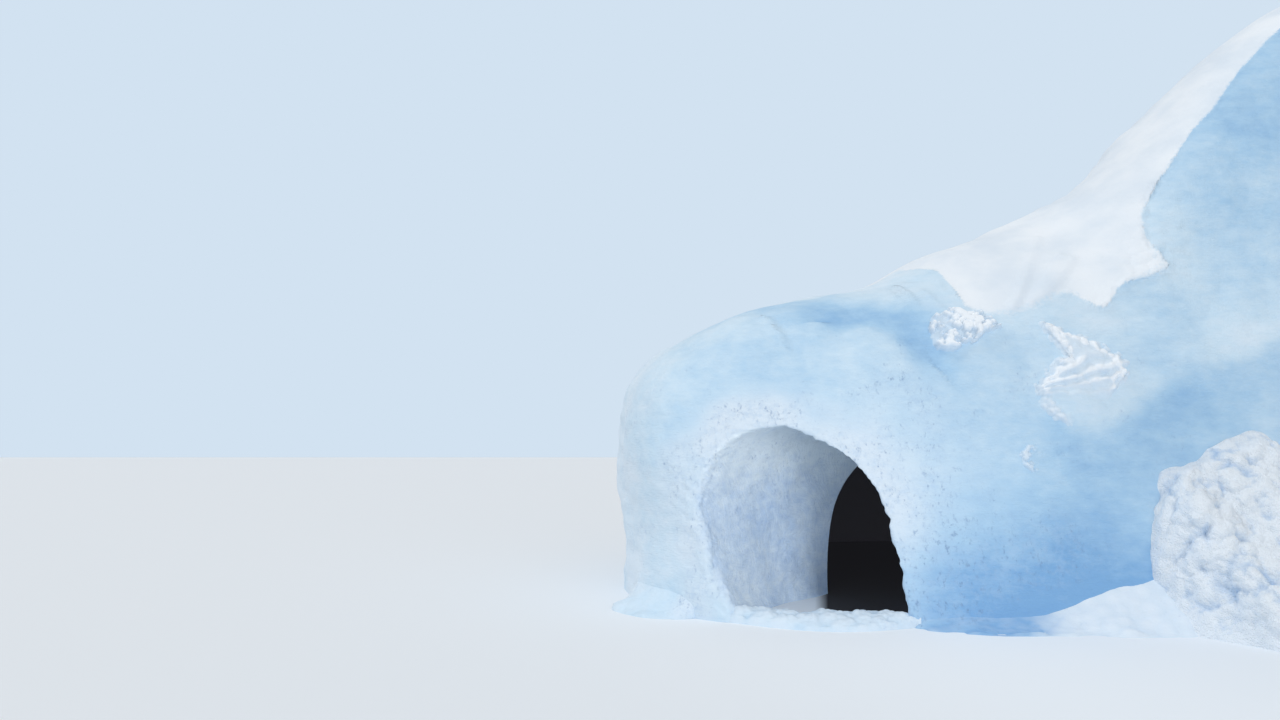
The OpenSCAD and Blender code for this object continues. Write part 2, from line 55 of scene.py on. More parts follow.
# %% Sizes and depths of the mound
FOOT_MIDDLE = np.array([0.961334, -0.188898, 0.0])
FACE_FRONT, FACE_LEAN, FACE_ROUNDING, MOUND_BLEND, ROOM_BLEND = 3.75, 0.28, 0.26, 0.6, 0.5
DOME = dict(centre=(0, 0, 0), size=(4.8, 4.55, 3.68), roundness=2)
LOBE = dict(centre=(-2.9, -1.8, 0.7), size=(2.38, 1.5, 2.06), roundness=3, turn=12)
PEAK = dict(centre=(2.8, -1.4, 0), size=(4.6, 4.85, 6.7), roundness=1.56)
LOW_ROOM = dict(centre=(-0.75, 0, 0), size=(3.05, 2.7, 2.4), roundness=3)
HIGH_ROOM = dict(centre=(2.8, 0, 0), size=(2.7, 2.2, 4.3), roundness=2)


def join(a, b, k):
    """Smooth larger of two depths: half of their sum plus half of the root of (difference squared
    plus k squared)."""
    return (a + b + np.sqrt((a - b) ** 2 + k * k)) / 2


def meet(a, b, k):
    """Smooth smaller of two depths: the same with the root taken away."""
    return (a + b - np.sqrt((a - b) ** 2 + k * k)) / 2


def heap_depth(p, centre, size, roundness, turn=0):
    """Smallest size times one minus the length of (point / size), with roundness as its power."""
    d = p - np.array(centre, float)
    t = np.radians(turn)
    x = d[..., 0] * np.cos(t) + d[..., 1] * np.sin(t)
    y = d[..., 1] * np.cos(t) - d[..., 0] * np.sin(t)
    total = sum(np.abs(v / s) ** roundness for v, s in zip((x, y, d[..., 2]), size))
    return min(size) * (1 - total ** (1 / roundness))


def mound_depth(p):
    """The larger depth of the three heaps, with soft joins."""
    return join(join(heap_depth(p, **DOME), heap_depth(p, **LOBE), MOUND_BLEND),
                heap_depth(p, **PEAK), MOUND_BLEND)


def face_depth(p):
    """Distance behind the leaning plane of the cut face."""
    return (p[..., 1] + FACE_FRONT - FACE_LEAN * p[..., 2]) / np.hypot(1, FACE_LEAN)


def outside_depth(p):
    """The smaller depth of the mound and of the cut face."""
    return meet(mound_depth(p), face_depth(p), FACE_ROUNDING)


def chamber_depth(p):
    """The larger depth of the two rooms."""
    return join(heap_depth(p, **LOW_ROOM), heap_depth(p, **HIGH_ROOM), ROOM_BLEND)


middle_of_floor = np.zeros(3)
print("at the middle of the floor the snow's outside is", outside_depth(middle_of_floor).round(2),
      "and the chamber's wall", chamber_depth(middle_of_floor).round(2), "m deep")

# %% [markdown]
# ## From depths to surfaces
# Every point of the skin is found by looking from the middle of the chamber floor along a
# direction, and halving the stretch in which the depth changes its sign. All directions of a
# grid are halved together, as one array.

# %% Surfaces along directions
REACH = 12  # Farther than any point of the igloo, in metres


def direction(azimuth, elevation):
    """Unit vectors: cosine and sine of the azimuth times the cosine of the elevation, and the
    elevation's sine."""
    a, e = np.radians(azimuth), np.radians(elevation)
    return np.stack([np.cos(a) * np.cos(e), np.sin(a) * np.cos(e), np.sin(e) + 0 * a], -1)


def halve(inside, low, high, steps):
    """Moves low up where inside(middle) holds and high down elsewhere, over and over."""
    for _ in range(steps):
        middle = (low + high) / 2
        holds = inside(middle)
        low, high = np.where(holds, middle, low), np.where(holds, high, middle)
    return (low + high) / 2


def surface(depth, azimuth, elevation):
    """Points where the depth becomes zero along these directions."""
    d = direction(azimuth, elevation)
    zero = np.zeros(d.shape[:-1])
    r = halve(lambda m: depth(d * m[..., None]) > 0, zero, zero + REACH, 20)
    return d * r[..., None]


def unit(v):
    """Each vector divided by its length."""
    return v / np.maximum(np.linalg.norm(v, axis=-1, keepdims=True), 1e-9)


def outwards(depth, p, h=0.002):
    """Unit vector in which the depth falls fastest, from differences over h to both sides."""
    steps = np.eye(3) * h
    return unit(np.stack([depth(p - s) - depth(p + s) for s in steps], -1))

# %% Soft steps and hills
def step_up(x, width):
    """A smooth step from 0 to 1: one over (1 plus e to the power of minus x / width)."""
    return 1 / (1 + np.exp(-x / width))


def hill(x, width):
    """1 at 0 and falling off to both sides: e to the power of minus (x / width) squared."""
    return np.exp(-(x / width) ** 2)


def ramp(x, low, high):
    """0 below low, 1 above high, and a smooth S between them."""
    t = np.clip((x - low) / (high - low), 0, 1)
    return t * t * (3 - 2 * t)

# %% The line where walls and roof meet
def ridge(azimuth):
    """Elevation at which the cut face meets the mound."""
    def on_face(e):
        d = direction(azimuth, e)
        towards = FACE_LEAN * d[..., 2] - d[..., 1]
        r = np.where(towards > 0, np.minimum(REACH, FACE_FRONT / np.maximum(towards, 1e-6)), REACH)
        return (towards > 0) & (mound_depth(d * r[..., None]) > 0)
    return halve(on_face, np.full(azimuth.shape, 30.0), np.full(azimuth.shape, 75.0), 12)


def shoulder(azimuth):
    """The ridge at the front, and a gentle line at the height of the eaves on the other sides."""
    a = np.where(azimuth > 385, azimuth - 360, azimuth)
    gentle = 28 + 10 * (1 - step_up(a - 198, 3) * step_up(330 - a, 4)) + 24 * hill(a - 338, 18)
    return join(ridge(a), gentle, 2)


def crest(azimuth):
    """Elevation at which the walls end and the roof begins."""
    azimuth = np.asarray(azimuth, float)
    return shoulder(azimuth) - 2.5 - 7 * hill(azimuth - 266, 6)


print("crest at the mouth, tongue and peak:", crest(np.array([223, 266, 300])).round(1))

# %% [markdown]
# ## Irregularity
# Snow is uneven at every size, and the same place has to be uneven in the same way in two
# neighbouring pieces. Noise that is worked out from the position alone does that. The first
# kind is smooth swells; the second is rounded lumps with creases between them, like shovelled
# snow.

# %% Noise from position
rng = np.random.default_rng(5)
SLOPES = unit(rng.normal(size=(256, 3)))
SPOTS = rng.random((256, 3))


def pick(cell, seed):
    """A scrambled number from 0 to 255 for each cell of a grid of cubes."""
    h = (cell[..., 0] * 73856093) ^ (cell[..., 1] * 19349663) ^ (cell[..., 2] * 83492791)
    h = (h ^ (seed * 40503)) & 0x7FFFFFFF
    h = ((h ^ (h >> 11)) * 668265263) & 0x7FFFFFFF
    return ((h ^ (h >> 15)) >> 5) & 255


def swell(p, size, seed):
    """Smooth noise from about -1 to 1: slopes at the corners of cubes of that size, blended."""
    q = p / size + 50
    cell = np.floor(q).astype(np.int64)
    f = q - cell
    fade = f ** 3 * (f * (f * 6 - 15) + 10)
    total = 0
    for corner in np.ndindex(2, 2, 2):
        c = np.array(corner)
        share = np.prod(np.where(c == 1, fade, 1 - fade), -1)
        total = total + share * ((f - c) * SLOPES[pick(cell + c, seed)]).sum(-1)
    return total * 1.7


def lumps(p, size, seed):
    """1 at the middle of each lump and down to 0 in the creases: one minus the squared distance
    to the nearest of the scattered spots."""
    q = p / size + 50
    cell = np.floor(q).astype(np.int64)
    nearest = np.full(q.shape[:-1], 4.0)
    for step in np.ndindex(3, 3, 3):
        c = cell + np.array(step) - 1
        nearest = np.minimum(nearest, ((q - c - SPOTS[pick(c, seed)]) ** 2).sum(-1))
    return np.clip(1 - nearest, 0, 1)


sample = np.random.default_rng(1).random((1000, 3)) * 5
print("swells lie within", np.abs(swell(sample, 1, 1)).max().round(2),
      "and lumps are", lumps(sample, 1, 1).mean().round(2), "high on average")

# %% [markdown]
# ## The camera
# The photograph was taken at eye height, a little left of the mouth, with a wide lens tilted up
# by five degrees. The camera comes early because single marks on the snow, such as a small
# crack, are placed where the photograph shows them: a ray from the eye through that place of
# the 1280 x 720 picture is followed until it meets the mound.

# %% Camera and places seen through it
EYE = np.array([-5.2, -11.3, 1.55])
PICTURE_WIDTH, PICTURE_HEIGHT, SENSOR_WIDTH = 1280, 720, 36
# In pixels of the picture: the lens's distance, and how far the horizon lies below the middle
LENS_LENGTH, HORIZON_DROP = 900, 80
TILT = np.arctan(HORIZON_DROP / LENS_LENGTH)
camera = bpy.data.objects.new("camera", bpy.data.cameras.new("camera"))
camera.data.sensor_width = SENSOR_WIDTH
camera.data.lens = SENSOR_WIDTH * LENS_LENGTH / PICTURE_WIDTH
camera.location = EYE - FOOT_MIDDLE
camera.rotation_euler = (np.pi / 2 + TILT, 0, 0)
bpy.context.scene.collection.objects.link(camera)
bpy.context.scene.camera = camera


def seen(*places):
    """Points of the mound that are seen at these places of the picture."""
    px, py = np.array(places, float).T
    across, up = (px - PICTURE_WIDTH / 2) / LENS_LENGTH, (PICTURE_HEIGHT / 2 - py) / LENS_LENGTH
    ray = np.stack([across, np.cos(TILT) - up * np.sin(TILT), np.sin(TILT) + up * np.cos(TILT)], -1)
    stops = np.linspace(4, 26, 1200)
    depth = outside_depth(EYE + ray[:, None] * stops[:, None])
    # A place just outside the outline takes the point where its ray comes nearest
    first = np.where((depth > 0).any(1), (depth > 0).argmax(1), depth.argmax(1))
    return EYE + ray * stops[first][:, None]


print("top of the mouth:", seen((786, 427)).round(2))

# %% [markdown]
# ## Marks on the snow
# The drift on top ends in an edge that wanders over the cut face, with a tongue and a notch
# beside it. Under the edge the cut snow is layered, and there are scoops, a small crack and one
# broad soft ridge. Each is a distance from a few points, turned into a height.

# %% Distances from lines on the mound
def stretches(row):
    """Each item of a row together with the next one."""
    return zip(row[:-1], row[1:])


def from_line(p, line):
    """Distance to a chain of straight stretches, and the side of the nearest one as seen from the
    front: above 0 over a line that runs to the right."""
    best, side = np.full(p.shape[:-1], 1e9), np.zeros(p.shape[:-1])
    for a, b in stretches(line):
        run = b - a
        t = np.clip(((p - a) @ run) / (run @ run), 0, 1)
        off = p - a - t[..., None] * run
        distance = (off ** 2).sum(-1)
        nearer = distance < best - 1e-9
        best = np.where(nearer, distance, best)
        turn = run[0] * (p[..., 2] - a[2]) - run[2] * (p[..., 0] - a[0])
        side = np.where(nearer, np.sign(turn), side)
    return np.sqrt(best), side


def is_inside(p, outline):
    """True inside a closed outline as seen from the front, found by counting how often a level
    line from the point to the right crosses it."""
    crossings = np.zeros(p.shape[:-1], int)
    for a, b in zip(outline, np.roll(outline, -1, axis=0)):
        spans = (a[2] > p[..., 2]) != (b[2] > p[..., 2])
        at = a[0] + (b[0] - a[0]) * (p[..., 2] - a[2]) / (b[2] - a[2] + 1e-12)
        crossings += spans & (p[..., 0] < at)
    return crossings % 2 == 1

# %% Places of the marks in the photograph
DRIFT_EDGE = seen((914, 280), (940, 282), (949, 290), (964, 308), (982, 316), (1014, 316),
                  (1031, 310), (1043, 304), (1058, 297), (1070, 296), (1079, 300), (1091, 308),
                  (1101, 310), (1108, 305), (1116, 292), (1126, 284), (1142, 281), (1162, 273),
                  (1166, 268), (1154, 254), (1144, 238), (1142, 221), (1147, 206), (1155, 190),
                  (1169, 170), (1191, 133), (1213, 110), (1239, 72), (1276, 33))
SKYLINE = seen((950, 268), (985, 256), (1020, 240), (1048, 226))
SOFT_CORNER = seen((1150, 262))[0]
SOFT_EDGE = seen((985, 316), (1014, 316), (1043, 304), (1070, 297))
CRACK = seen((766, 319), (776, 330), (785, 343))
BROAD_RIDGE = seen((1050, 415), (1072, 430), (1097, 430), (1122, 419), (1149, 399), (1185, 374),
                   (1230, 362), (1278, 340), (1340, 322), (1500, 290))
SCOOP = seen((838, 320), (872, 316), (900, 328), (922, 352))
LEDGE = seen((905, 292), (928, 296), (945, 304))
PITTED = seen((925, 585), (975, 590), (1045, 552))
FLUTES = [seen((1062, 262), (1047, 285), (1032, 306)), seen((1072, 264), (1058, 282), (1045, 300)),
          seen((1040, 250), (1024, 285), (1012, 310))]
print("drift edge runs from", DRIFT_EDGE[0].round(2), "to", DRIFT_EDGE[-1].round(2))

# %% Where the drift and the hollows lie
def drift_side(p):
    """Distance from the drift's edge, above 0 on the drift. Past the photograph's right edge it is
    the difference between the two depths that meet at the ridge."""
    distance, side = from_line(p, DRIFT_EDGE)
    natural = 0.8 * (face_depth(p) - mound_depth(p))
    past = ramp(p[..., 0], DRIFT_EDGE[-1][0] - 0.2, DRIFT_EDGE[-1][0] + 0.2)
    return distance * side * (1 - past) + natural * past


def on_front(p):
    """1 on the cut face and just behind its ridge, 0 round the sides and the back."""
    return (1 - ramp(face_depth(p), 0.5, 1.2)) * ramp(-p[..., 1], 0.5, 1.5)


def ragged(p, s):
    """A distance from an edge that frays by swells of 190 and 80 mm."""
    return s + 0.035 * swell(p, 0.19, 4) + 0.02 * swell(p, 0.08, 5)


def broad_ridge(p):
    """Height share of the one broad soft ridge on the tall face, and a share of painted shade in
    the hollow under it less half a share of painted light over it: a gentle slope above its line
    and a steeper one below, both faded out past its ends."""
    gap, side = from_line(p, BROAD_RIDGE)
    gap = gap * side
    ends = ramp(p[..., 0], -1.75, -1.3) * (1 - ramp(p[..., 0], 0.8, 2.0))
    high = np.where(gap > 0, hill(gap, 0.55), hill(gap, 0.2))
    below, above = ramp(-gap, -0.1, 0.16) * hill(gap, 0.6), ramp(gap, -0.1, 0.16) * hill(gap, 0.5)
    return high * ends, (below - 0.5 * above) * ends


def scooped(p):
    """1 in the hollow scooped out of the lobe's top, with a soft upper and a sharper lower side."""
    gap, side = from_line(p, SCOOP)
    gap = gap * side
    return np.where(gap > 0, hill(gap, 0.3), hill(gap, 0.17))


print("the drift's soft corner lies", drift_side(SOFT_CORNER).round(2), "m past its edge")

# %% Height of the marks
def marks(p):
    """How far the finished skin stands out from the plain form at each point, in metres: the sum
    of wide swells, dents on the cut snow, the drift's lip, and the photograph's single marks."""
    x, z = p[..., 0], p[..., 2]
    front = on_front(p)
    s = drift_side(p)
    above = ramp(s, -0.03, 0.06)
    height = 0.03 * swell(p, 1.3, 1) + 0.016 * swell(p, 0.5, 2) * (1 - 0.7 * above)
    height += (1 - above) * front * (0.008 * swell(p * [1, 1, 1.7], 0.22, 3)
                                     + 0.004 * swell(p * [1, 1, 1.7], 0.1, 6))
    # The drift's lip is 20 to 65 mm high, lower where its edge is soft
    lip = ((0.02 + 0.045 * ramp(x, -2.2, -0.9) * (1 - ramp(x, -0.3, 0.6)))
           * (1 - 0.6 * hill(from_line(p, SOFT_EDGE)[0], 0.3)))
    height += lip * front * ramp(ragged(p, s), -0.055, 0.055) * np.exp(-np.maximum(s, 0) / 0.45)
    height += 0.19 * hill(from_line(p, SKYLINE)[0], 0.65)
    corner = hill(np.linalg.norm(p - SOFT_CORNER, axis=-1), 0.3)
    height += 0.035 * corner * lumps(p, 0.11, 13)
    height += (1 - front) * (0.04 * swell(p, 0.8, 14) + 0.02 * swell(p * [1, 1, 2.5], 0.35, 15))
    # The crack has a raised upper and a sunken lower border
    crack, side = from_line(p, CRACK)
    height += 0.03 * hill(crack, 0.05) - 0.02 * hill(crack - 0.06, 0.05) * (side > 0)
    height += 0.06 * front * broad_ridge(p)[0]
    height -= 0.07 * front * scooped(p) * (1 - above)
    # The lobe's end bulges at 2.1 m and draws in at its foot
    lobe_end = ramp(-x, 4.4, 5.1)
    height += lobe_end * (0.1 * hill(z - 2.1, 0.5) - 0.13 * (1 - ramp(z, 0.5, 1.6)))
    height += 0.03 * (1 - above) * front * ramp(z, 1.8, 2.3) * lumps(p, 0.4, 8)
    # Layers 130 mm thick show under the drift's edge
    layer = np.sin(2 * np.pi * (s / 0.13 + 0.9 * swell(p, 0.4, 7)))
    height += (0.016 * hill(from_line(p, LEDGE)[0], 0.22) * (1 - above) * (layer + 0.6 * layer ** 2)
               * ramp(swell(p, 0.3, 12), -0.4, 0.3))
    for flute in FLUTES:
        height += 0.025 * hill(from_line(p, flute)[0], 0.055) * above
    return height

# %% [markdown]
# ## Blocks of snow
# A block has a fine outer skin and a coarse inner one, with strips between their borders, so it
# is closed. Neighbouring blocks share their border points. Shading would still show the borders,
# because Blender takes a vertex's direction from its own mesh only, so each vertex is given the
# direction of the form itself.

# %% A closed block from two grids
def point_numbers(outer, inner):
    """The numbers that the points of an outer and an inner grid get in one mesh."""
    out = np.arange(outer[..., 0].size).reshape(outer.shape[:2])
    return out, out.size + np.arange(inner[..., 0].size).reshape(inner.shape[:2])


def cells(n):
    """Four corner numbers for each cell of a grid of point numbers."""
    return np.stack([n[:-1, :-1], n[1:, :-1], n[1:, 1:], n[:-1, 1:]], -1).reshape(-1, 4)


def border_strip(outer, inner):
    """Faces between a fine border and a coarse one, each from one coarse stretch."""
    stride = (len(outer) - 1) // (len(inner) - 1)
    n = np.arange(len(inner) - 1)
    fine = outer[n[:, None] * stride + np.arange(stride, -1, -1)]
    return np.concatenate([fine, inner[n][:, None], inner[n + 1][:, None]], 1)

# %% A piece for a solid of the frame
def make_piece(name, grids, directions, faces, materials, numbers):
    """A piece that takes the frame's solid of the same name. Faces come in groups, each with the
    number of its material, and no point lies below the ground."""
    mesh = bpy.data.meshes.new(name)
    points = np.concatenate([grid.reshape(-1, 3) for grid in grids]) - FOOT_MIDDLE
    points[:, 2] = np.maximum(points[:, 2], 0)
    mesh.from_pydata(points.tolist(), [], [face for group, _ in faces for face in group.tolist()])
    for material in materials:
        mesh.materials.append(material)
    which = np.repeat([number for _, number in faces], [len(group) for group, _ in faces])
    which = np.minimum(which, len(materials) - 1).astype(np.int32)
    mesh.polygons.foreach_set("material_index", which)
    mesh.polygons.foreach_set("use_smooth", np.ones(len(which), bool))
    directions = np.concatenate([grid.reshape(-1, 3) for grid in directions])
    mesh.normals_split_custom_set_from_vertices(unit(directions).tolist())
    # One number for each vertex of the outer grid, which a material reads by its name
    for kept, value in numbers.items():
        values = np.zeros(len(points), np.float32)
        values[:value.size] = value.reshape(-1)
        mesh.attributes.new(kept, "FLOAT", "POINT").data.foreach_set("value", values)
    piece = bpy.data.objects.new(name + "_snow", mesh)
    bpy.context.scene.collection.objects.link(piece)
    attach(piece, "root")
    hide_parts(name)
    print(name, len(which), "faces")


def block(name, outer, inner, outer_facing, inner_facing, materials, numbers,
          whole_ends=False):
    """A closed piece whose outer grid runs anticlockwise and upwards. An end is a row of strips, or
    one many-sided face where the section is hollowed."""
    out, back = point_numbers(outer, inner)
    faces = [(cells(out), 0), (cells(back)[:, ::-1], 1), (border_strip(out[:, 0], back[:, 0]), 0),
             (border_strip(out[::-1, -1], back[::-1, -1]), 0)]
    if whole_ends:
        faces += [(np.concatenate([out[0], back[0, ::-1]])[None], 0),
                  (np.concatenate([out[-1, ::-1], back[-1]])[None], 0)]
    else:
        faces += [(border_strip(out[0, ::-1], back[0, ::-1]), 0),
                  (border_strip(out[-1], back[-1]), 0)]
    make_piece(name, [outer, inner], [outer_facing, inner_facing], faces, materials, numbers)

# %% The finished skin and where it faces
def finished(p):
    """The finished skin over points of the plain form, and the directions it faces: the plain
    direction, less the slope of the marks along two directions in the surface."""
    n = outwards(outside_depth, p)
    across = unit(np.cross(np.broadcast_to([0.0, 0, 1], n.shape) + 0.01, n))
    up = np.cross(n, across)
    h = 0.008
    height = marks(p)
    slope_a = (marks(p + h * across) - height) / h
    slope_u = (marks(p + h * up) - height) / h
    facing = n - slope_a[..., None] * across - slope_u[..., None] * up
    return p + n * height[..., None], unit(facing)


print("a border of 9 fine and 3 coarse points gives faces with corners",
      border_strip(np.arange(9), np.arange(9, 12)).tolist())

# %% [markdown]
# ## Colours and nodes
# Colours are written as on a screen, in hex, and Blender's shaders need them linear. One small
# function adds a node, sets what it is given and links what is a socket.

# %% Colour and node helpers
def colour(code):
    """Screen colour to linear: each share s is ((s + 0.055) / 1.055) to the power 2.4."""
    s = np.array([int(code[k:k + 2], 16) for k in (1, 3, 5)]) / 255
    linear = np.where(s <= 0.04045, s / 12.92, ((s + 0.055) / 1.055) ** 2.4)
    return (*linear.tolist(), 1)


def node(tree, kind, inputs=(), out=0, **settings):
    """Adds a node and gives one of its outputs. The inputs map the names or numbers of its sockets
    to a value, or to another node's output, which is linked."""
    made = tree.nodes.new("ShaderNode" + kind)
    for key, value in settings.items():
        setattr(made, key, value)
    for key, value in dict(inputs).items():
        if isinstance(value, bpy.types.NodeSocket):
            tree.links.new(value, made.inputs[key])
        else:
            made.inputs[key].default_value = value
    return made.outputs[out]


# Settings that many nodes share
TIMES, TIMES_PLUS = dict(operation="MULTIPLY"), dict(operation="MULTIPLY_ADD")
SMOOTH, COLOURS = dict(interpolation_type="SMOOTHSTEP"), dict(data_type="RGBA", out=2)
# Snow is grains of ice, which bends light less than glass
ICE_IOR = 1.31


def new_material(name, roughness):
    """A material whose one shader bends light as ice does."""
    material = bpy.data.materials.new(name)
    material.use_nodes = True
    tree = material.node_tree
    shader = tree.nodes["Principled BSDF"]
    shader.inputs["Roughness"].default_value = roughness
    shader.inputs["IOR"].default_value = ICE_IOR
    return material, tree, shader


print("a mid grey of the screen is", round(colour("#808080")[0], 3), "to the shaders")

# %% [markdown]
# ## The snow of the shell
# Three finishes meet on one skin: snow compacted and cut with shovels, pale blue in part because
# light goes a long way through it and in part as painted shade, the colour the cut face has in
# shade; the wind-packed drift, near white and fine-grained, and whiter than the cut snow in part as
# painted sunlight; and the carved inside of the entrance, glazed by hands and tools and streaked
# along the arch. Numbers kept at each vertex say where each shows: "edge" is the distance from
# the drift's edge; one number is the paleness of snow scraped round the mouth and of painted
# highlights on clods and crumbs; "blue" is in part how dense the snow is and in part painted
# shade; one number is how many darker blue specks it holds, small pits with painted shade; and
# "inside" whether it is passage, with "along" and "inwards" as lengths round the arch and into
# it. Grains are 1 to 3 mm in real snow, too fine to show, so they are drawn at about 8 mm.

# %% Patterns and tones of the snow
# Each one: scale, which is one over the size in metres, then detail, roughness, stretch and turn
PATTERNS = dict(
    clouds=(0.9, 5, 0.55, (1, 1, 1), 0),       # denser snow, 1.1 m
    layers=(1.6, 4, 0.5, (0.35, 0.35, 5), 0),  # 1.8 m long and 125 mm thick
    dabs=(7, 4, 0.6, (1, 1, 1.8), 0),          # of the shovel, 140 mm
    patches=(22, 3, 0.5, (1, 1, 1), 0),        # 45 mm
    grain=(120, 2, 0.5, (1, 1, 1), 0),         # 8 mm
    crowds=(2.6, 4, 0.6, (1, 1, 1), 0),        # of specks, 0.4 m
    specks=(30, 5, 0.75, (1, 1, 0.6), 0),      # 5 to 30 mm
    mottles=(16, 4, 0.75, (1, 1, 1), 0),       # among the specks, 60 mm
    bends=(1.5, 2, 0.5, (1, 1, 1), 0),         # of the passage's streaks, 0.7 m
    tones=(1.7, 4, 0.5, (1, 1, 1), 0),         # of the drift, 0.6 m
    scrapes=(14, 3, 0.5, (1, 1, 4.5), 0.5))    # 70 mm long and 16 mm wide
# From pale to deep blue, for loose to dense snow and for lit snow to painted shade: the first two
# stops are the ends of the range
CUT_TONES = [(0.0, "#dbe9f5"), (1.0, "#80aeda"), (0.3, "#c9e0f1"), (0.62, "#aacde9")]
# As the tone gets bluer the snow is denser and the painted shade deeper
print("cut snow goes from", CUT_TONES[0][1], "to", CUT_TONES[1][1], "as it gets denser")


def read_surface(add):
    """The numbers kept at each vertex and the patterns, by their names."""
    place = add("TexCoord", out="Object")
    at = {kept: add("Attribute", attribute_name=kept, out="Fac")
          for kept in ("edge", "halo", "blue", "dirt", "inside", "along", "inwards")}
    for pattern, (scale, detail, rough, stretch, turn) in PATTERNS.items():
        turned = add("Mapping", {"Vector": place, "Scale": stretch, "Rotation": (0, turn, 0)})
        at[pattern] = add("TexNoise", {"Vector": turned, "Scale": scale, "Detail": detail,
                                       "Roughness": rough})
    return SimpleNamespace(place=place, up=add("SeparateXYZ", {"Vector": place}, out="Z"), **at)

# %% Cut snow
def cut_snow(add, at):
    """Painted shade and how dense the snow is set its blue: its number, and each pattern less a
    half times its weight."""
    density_and_shade = at.blue
    for pattern, weight in ((at.clouds, 1.0), (at.layers, 0.16), (at.dabs, 0.36)):
        about_zero = add("Math", {0: pattern, 1: 0.5}, operation="SUBTRACT")
        density_and_shade = add("Math", {0: about_zero, 1: weight, 2: density_and_shade}, **TIMES_PLUS)
    tone = add("ValToRGB", {"Fac": density_and_shade})
    stops = tone.node.color_ramp.elements
    for k, (position, code) in enumerate(CUT_TONES):
        stop = stops[k] if k < 2 else stops.new(position)
        stop.color = colour(code)
    return tone


def pits_and_mottles(add, at):
    """Shares of specks, 5 to 30 mm wide, small pits darker blue as painted shade, and of mottles,
    both in crowds.
    """
    crowded = add("Math", {0: at.crowds, 1: 0.8, 2: at.dirt}, **TIMES_PLUS)
    crowded, specks, patchy, mottles = (
        add("MapRange", {"Value": value, "From Min": low, "From Max": high}, **SMOOTH)
        for value, low, high in ((crowded, 0.38, 0.62), (at.specks, 0.54, 0.66),
                                 (at.patches, 0.3, 0.7), (at.mottles, 0.42, 0.66)))
    return (add("Math", {0: specks, 1: add("Math", {0: crowded, 1: patchy}, **TIMES)}, **TIMES),
            add("Math", {0: mottles, 1: add("Math", {0: crowded, 1: 0.3}, **TIMES)}, **TIMES))


def scraped_snow(add, at, skin, specks, mottles):
    """Cut snow that is paler where the tools scraped it and where highlights are painted on clods
    and crumbs, with specks and mottles, and palest where it broke and on the strongest highlights."""
    rubbed = add("Math", {0: at.halo, 1: 0.6, 2: at.dabs}, **TIMES_PLUS)
    rubbed, broken = (add("MapRange", {"Value": value, "From Min": low, "From Max": high}, **SMOOTH)
                      for value, low, high in ((rubbed, 0.35, 0.75), (at.halo, 1.0, 1.5)))
    scraped, faint_specks = (add("Math", {0: a, 1: b}, **TIMES)
                             for a, b in ((at.halo, rubbed), (specks, 0.8)))
    for share, code in ((scraped, "#d6e4f1"), (mottles, "#a6c3e2"), (faint_specks, "#83a1c8"),
                        (broken, "#ecf3fa")):
        skin = add("Mix", {0: share, 6: skin, 7: colour(code)}, **COLOURS)
    return skin

# %% Glazed snow of the passage
def arch_streaks(add, at):
    """Noise drawn out along the arch: 42 to the metre inwards and 6 to the metre round it."""
    slanting = add("Math", {0: at.bends, 1: 0.7, 2: at.inwards}, **TIMES_PLUS)
    across, round_arch = (add("Math", {0: value, 1: scale}, **TIMES)
                          for value, scale in ((slanting, 42), (at.along, 6)))
    path = add("CombineXYZ", {"X": round_arch, "Y": across})
    return add("TexNoise", {"Vector": path, "Scale": 1, "Detail": 3, "Distortion": 1.2})


def glazed_snow(add, at, streaks, specks):
    """Pale and streaked; bluer deep in and low down, as painted shade, and less so overhead, as
    painted light.
    """
    low_down, deep_in, overhead_painted_light = (
        add("MapRange", {"Value": value, "From Min": low, "From Max": high}, **SMOOTH)
        for value, low, high in ((at.up, 0.9, 0.1), (at.inwards, 2.6, 3.8), (at.up, 0.9, 1.6)))
    deep_painted_shade, fainter_specks, bluish = (
        add("Math", {0: a, 1: b}, **TIMES)
        for a, b in ((low_down, deep_in), (specks, 0.5), (at.clouds, 0.6)))
    for part, weight in ((at.dabs, 0.5), (streaks, 0.3), (deep_painted_shade, 0.45), (overhead_painted_light, -0.33)):
        bluish = add("Math", {0: part, 1: weight, 2: bluish}, **TIMES_PLUS)
    bluish = add("MapRange", {"Value": bluish, "From Min": 0.42, "From Max": 1.17})
    tone = colour("#e9f6ff")
    for share, code in ((bluish, "#86b0e2"), (fainter_specks, "#8fa9d0")):
        tone = add("Mix", {0: share, 6: tone, 7: colour(code)}, **COLOURS)
    return tone

# %% Drift
def drift_snow(add, at):
    """Its tone, near white and in part painted sunlight, and its share, whose edge bites into the
    cut snow.
    """
    share = add("MapRange", {"Value": at.tones, "From Min": 0.3, "From Max": 0.75}, **SMOOTH)
    tone = add("Mix", {0: share, 6: colour("#eaf1f8"), 7: colour("#d8e4f0")}, **COLOURS)
    bite = at.edge
    for part, weight in ((at.grain, 0.02), (at.patches, 0.05)):
        bite = add("Math", {0: part, 1: weight, 2: bite}, **TIMES_PLUS)
    return tone, add("MapRange", {"Value": bite, "From Min": 0.02, "From Max": 0.055}, **SMOOTH)

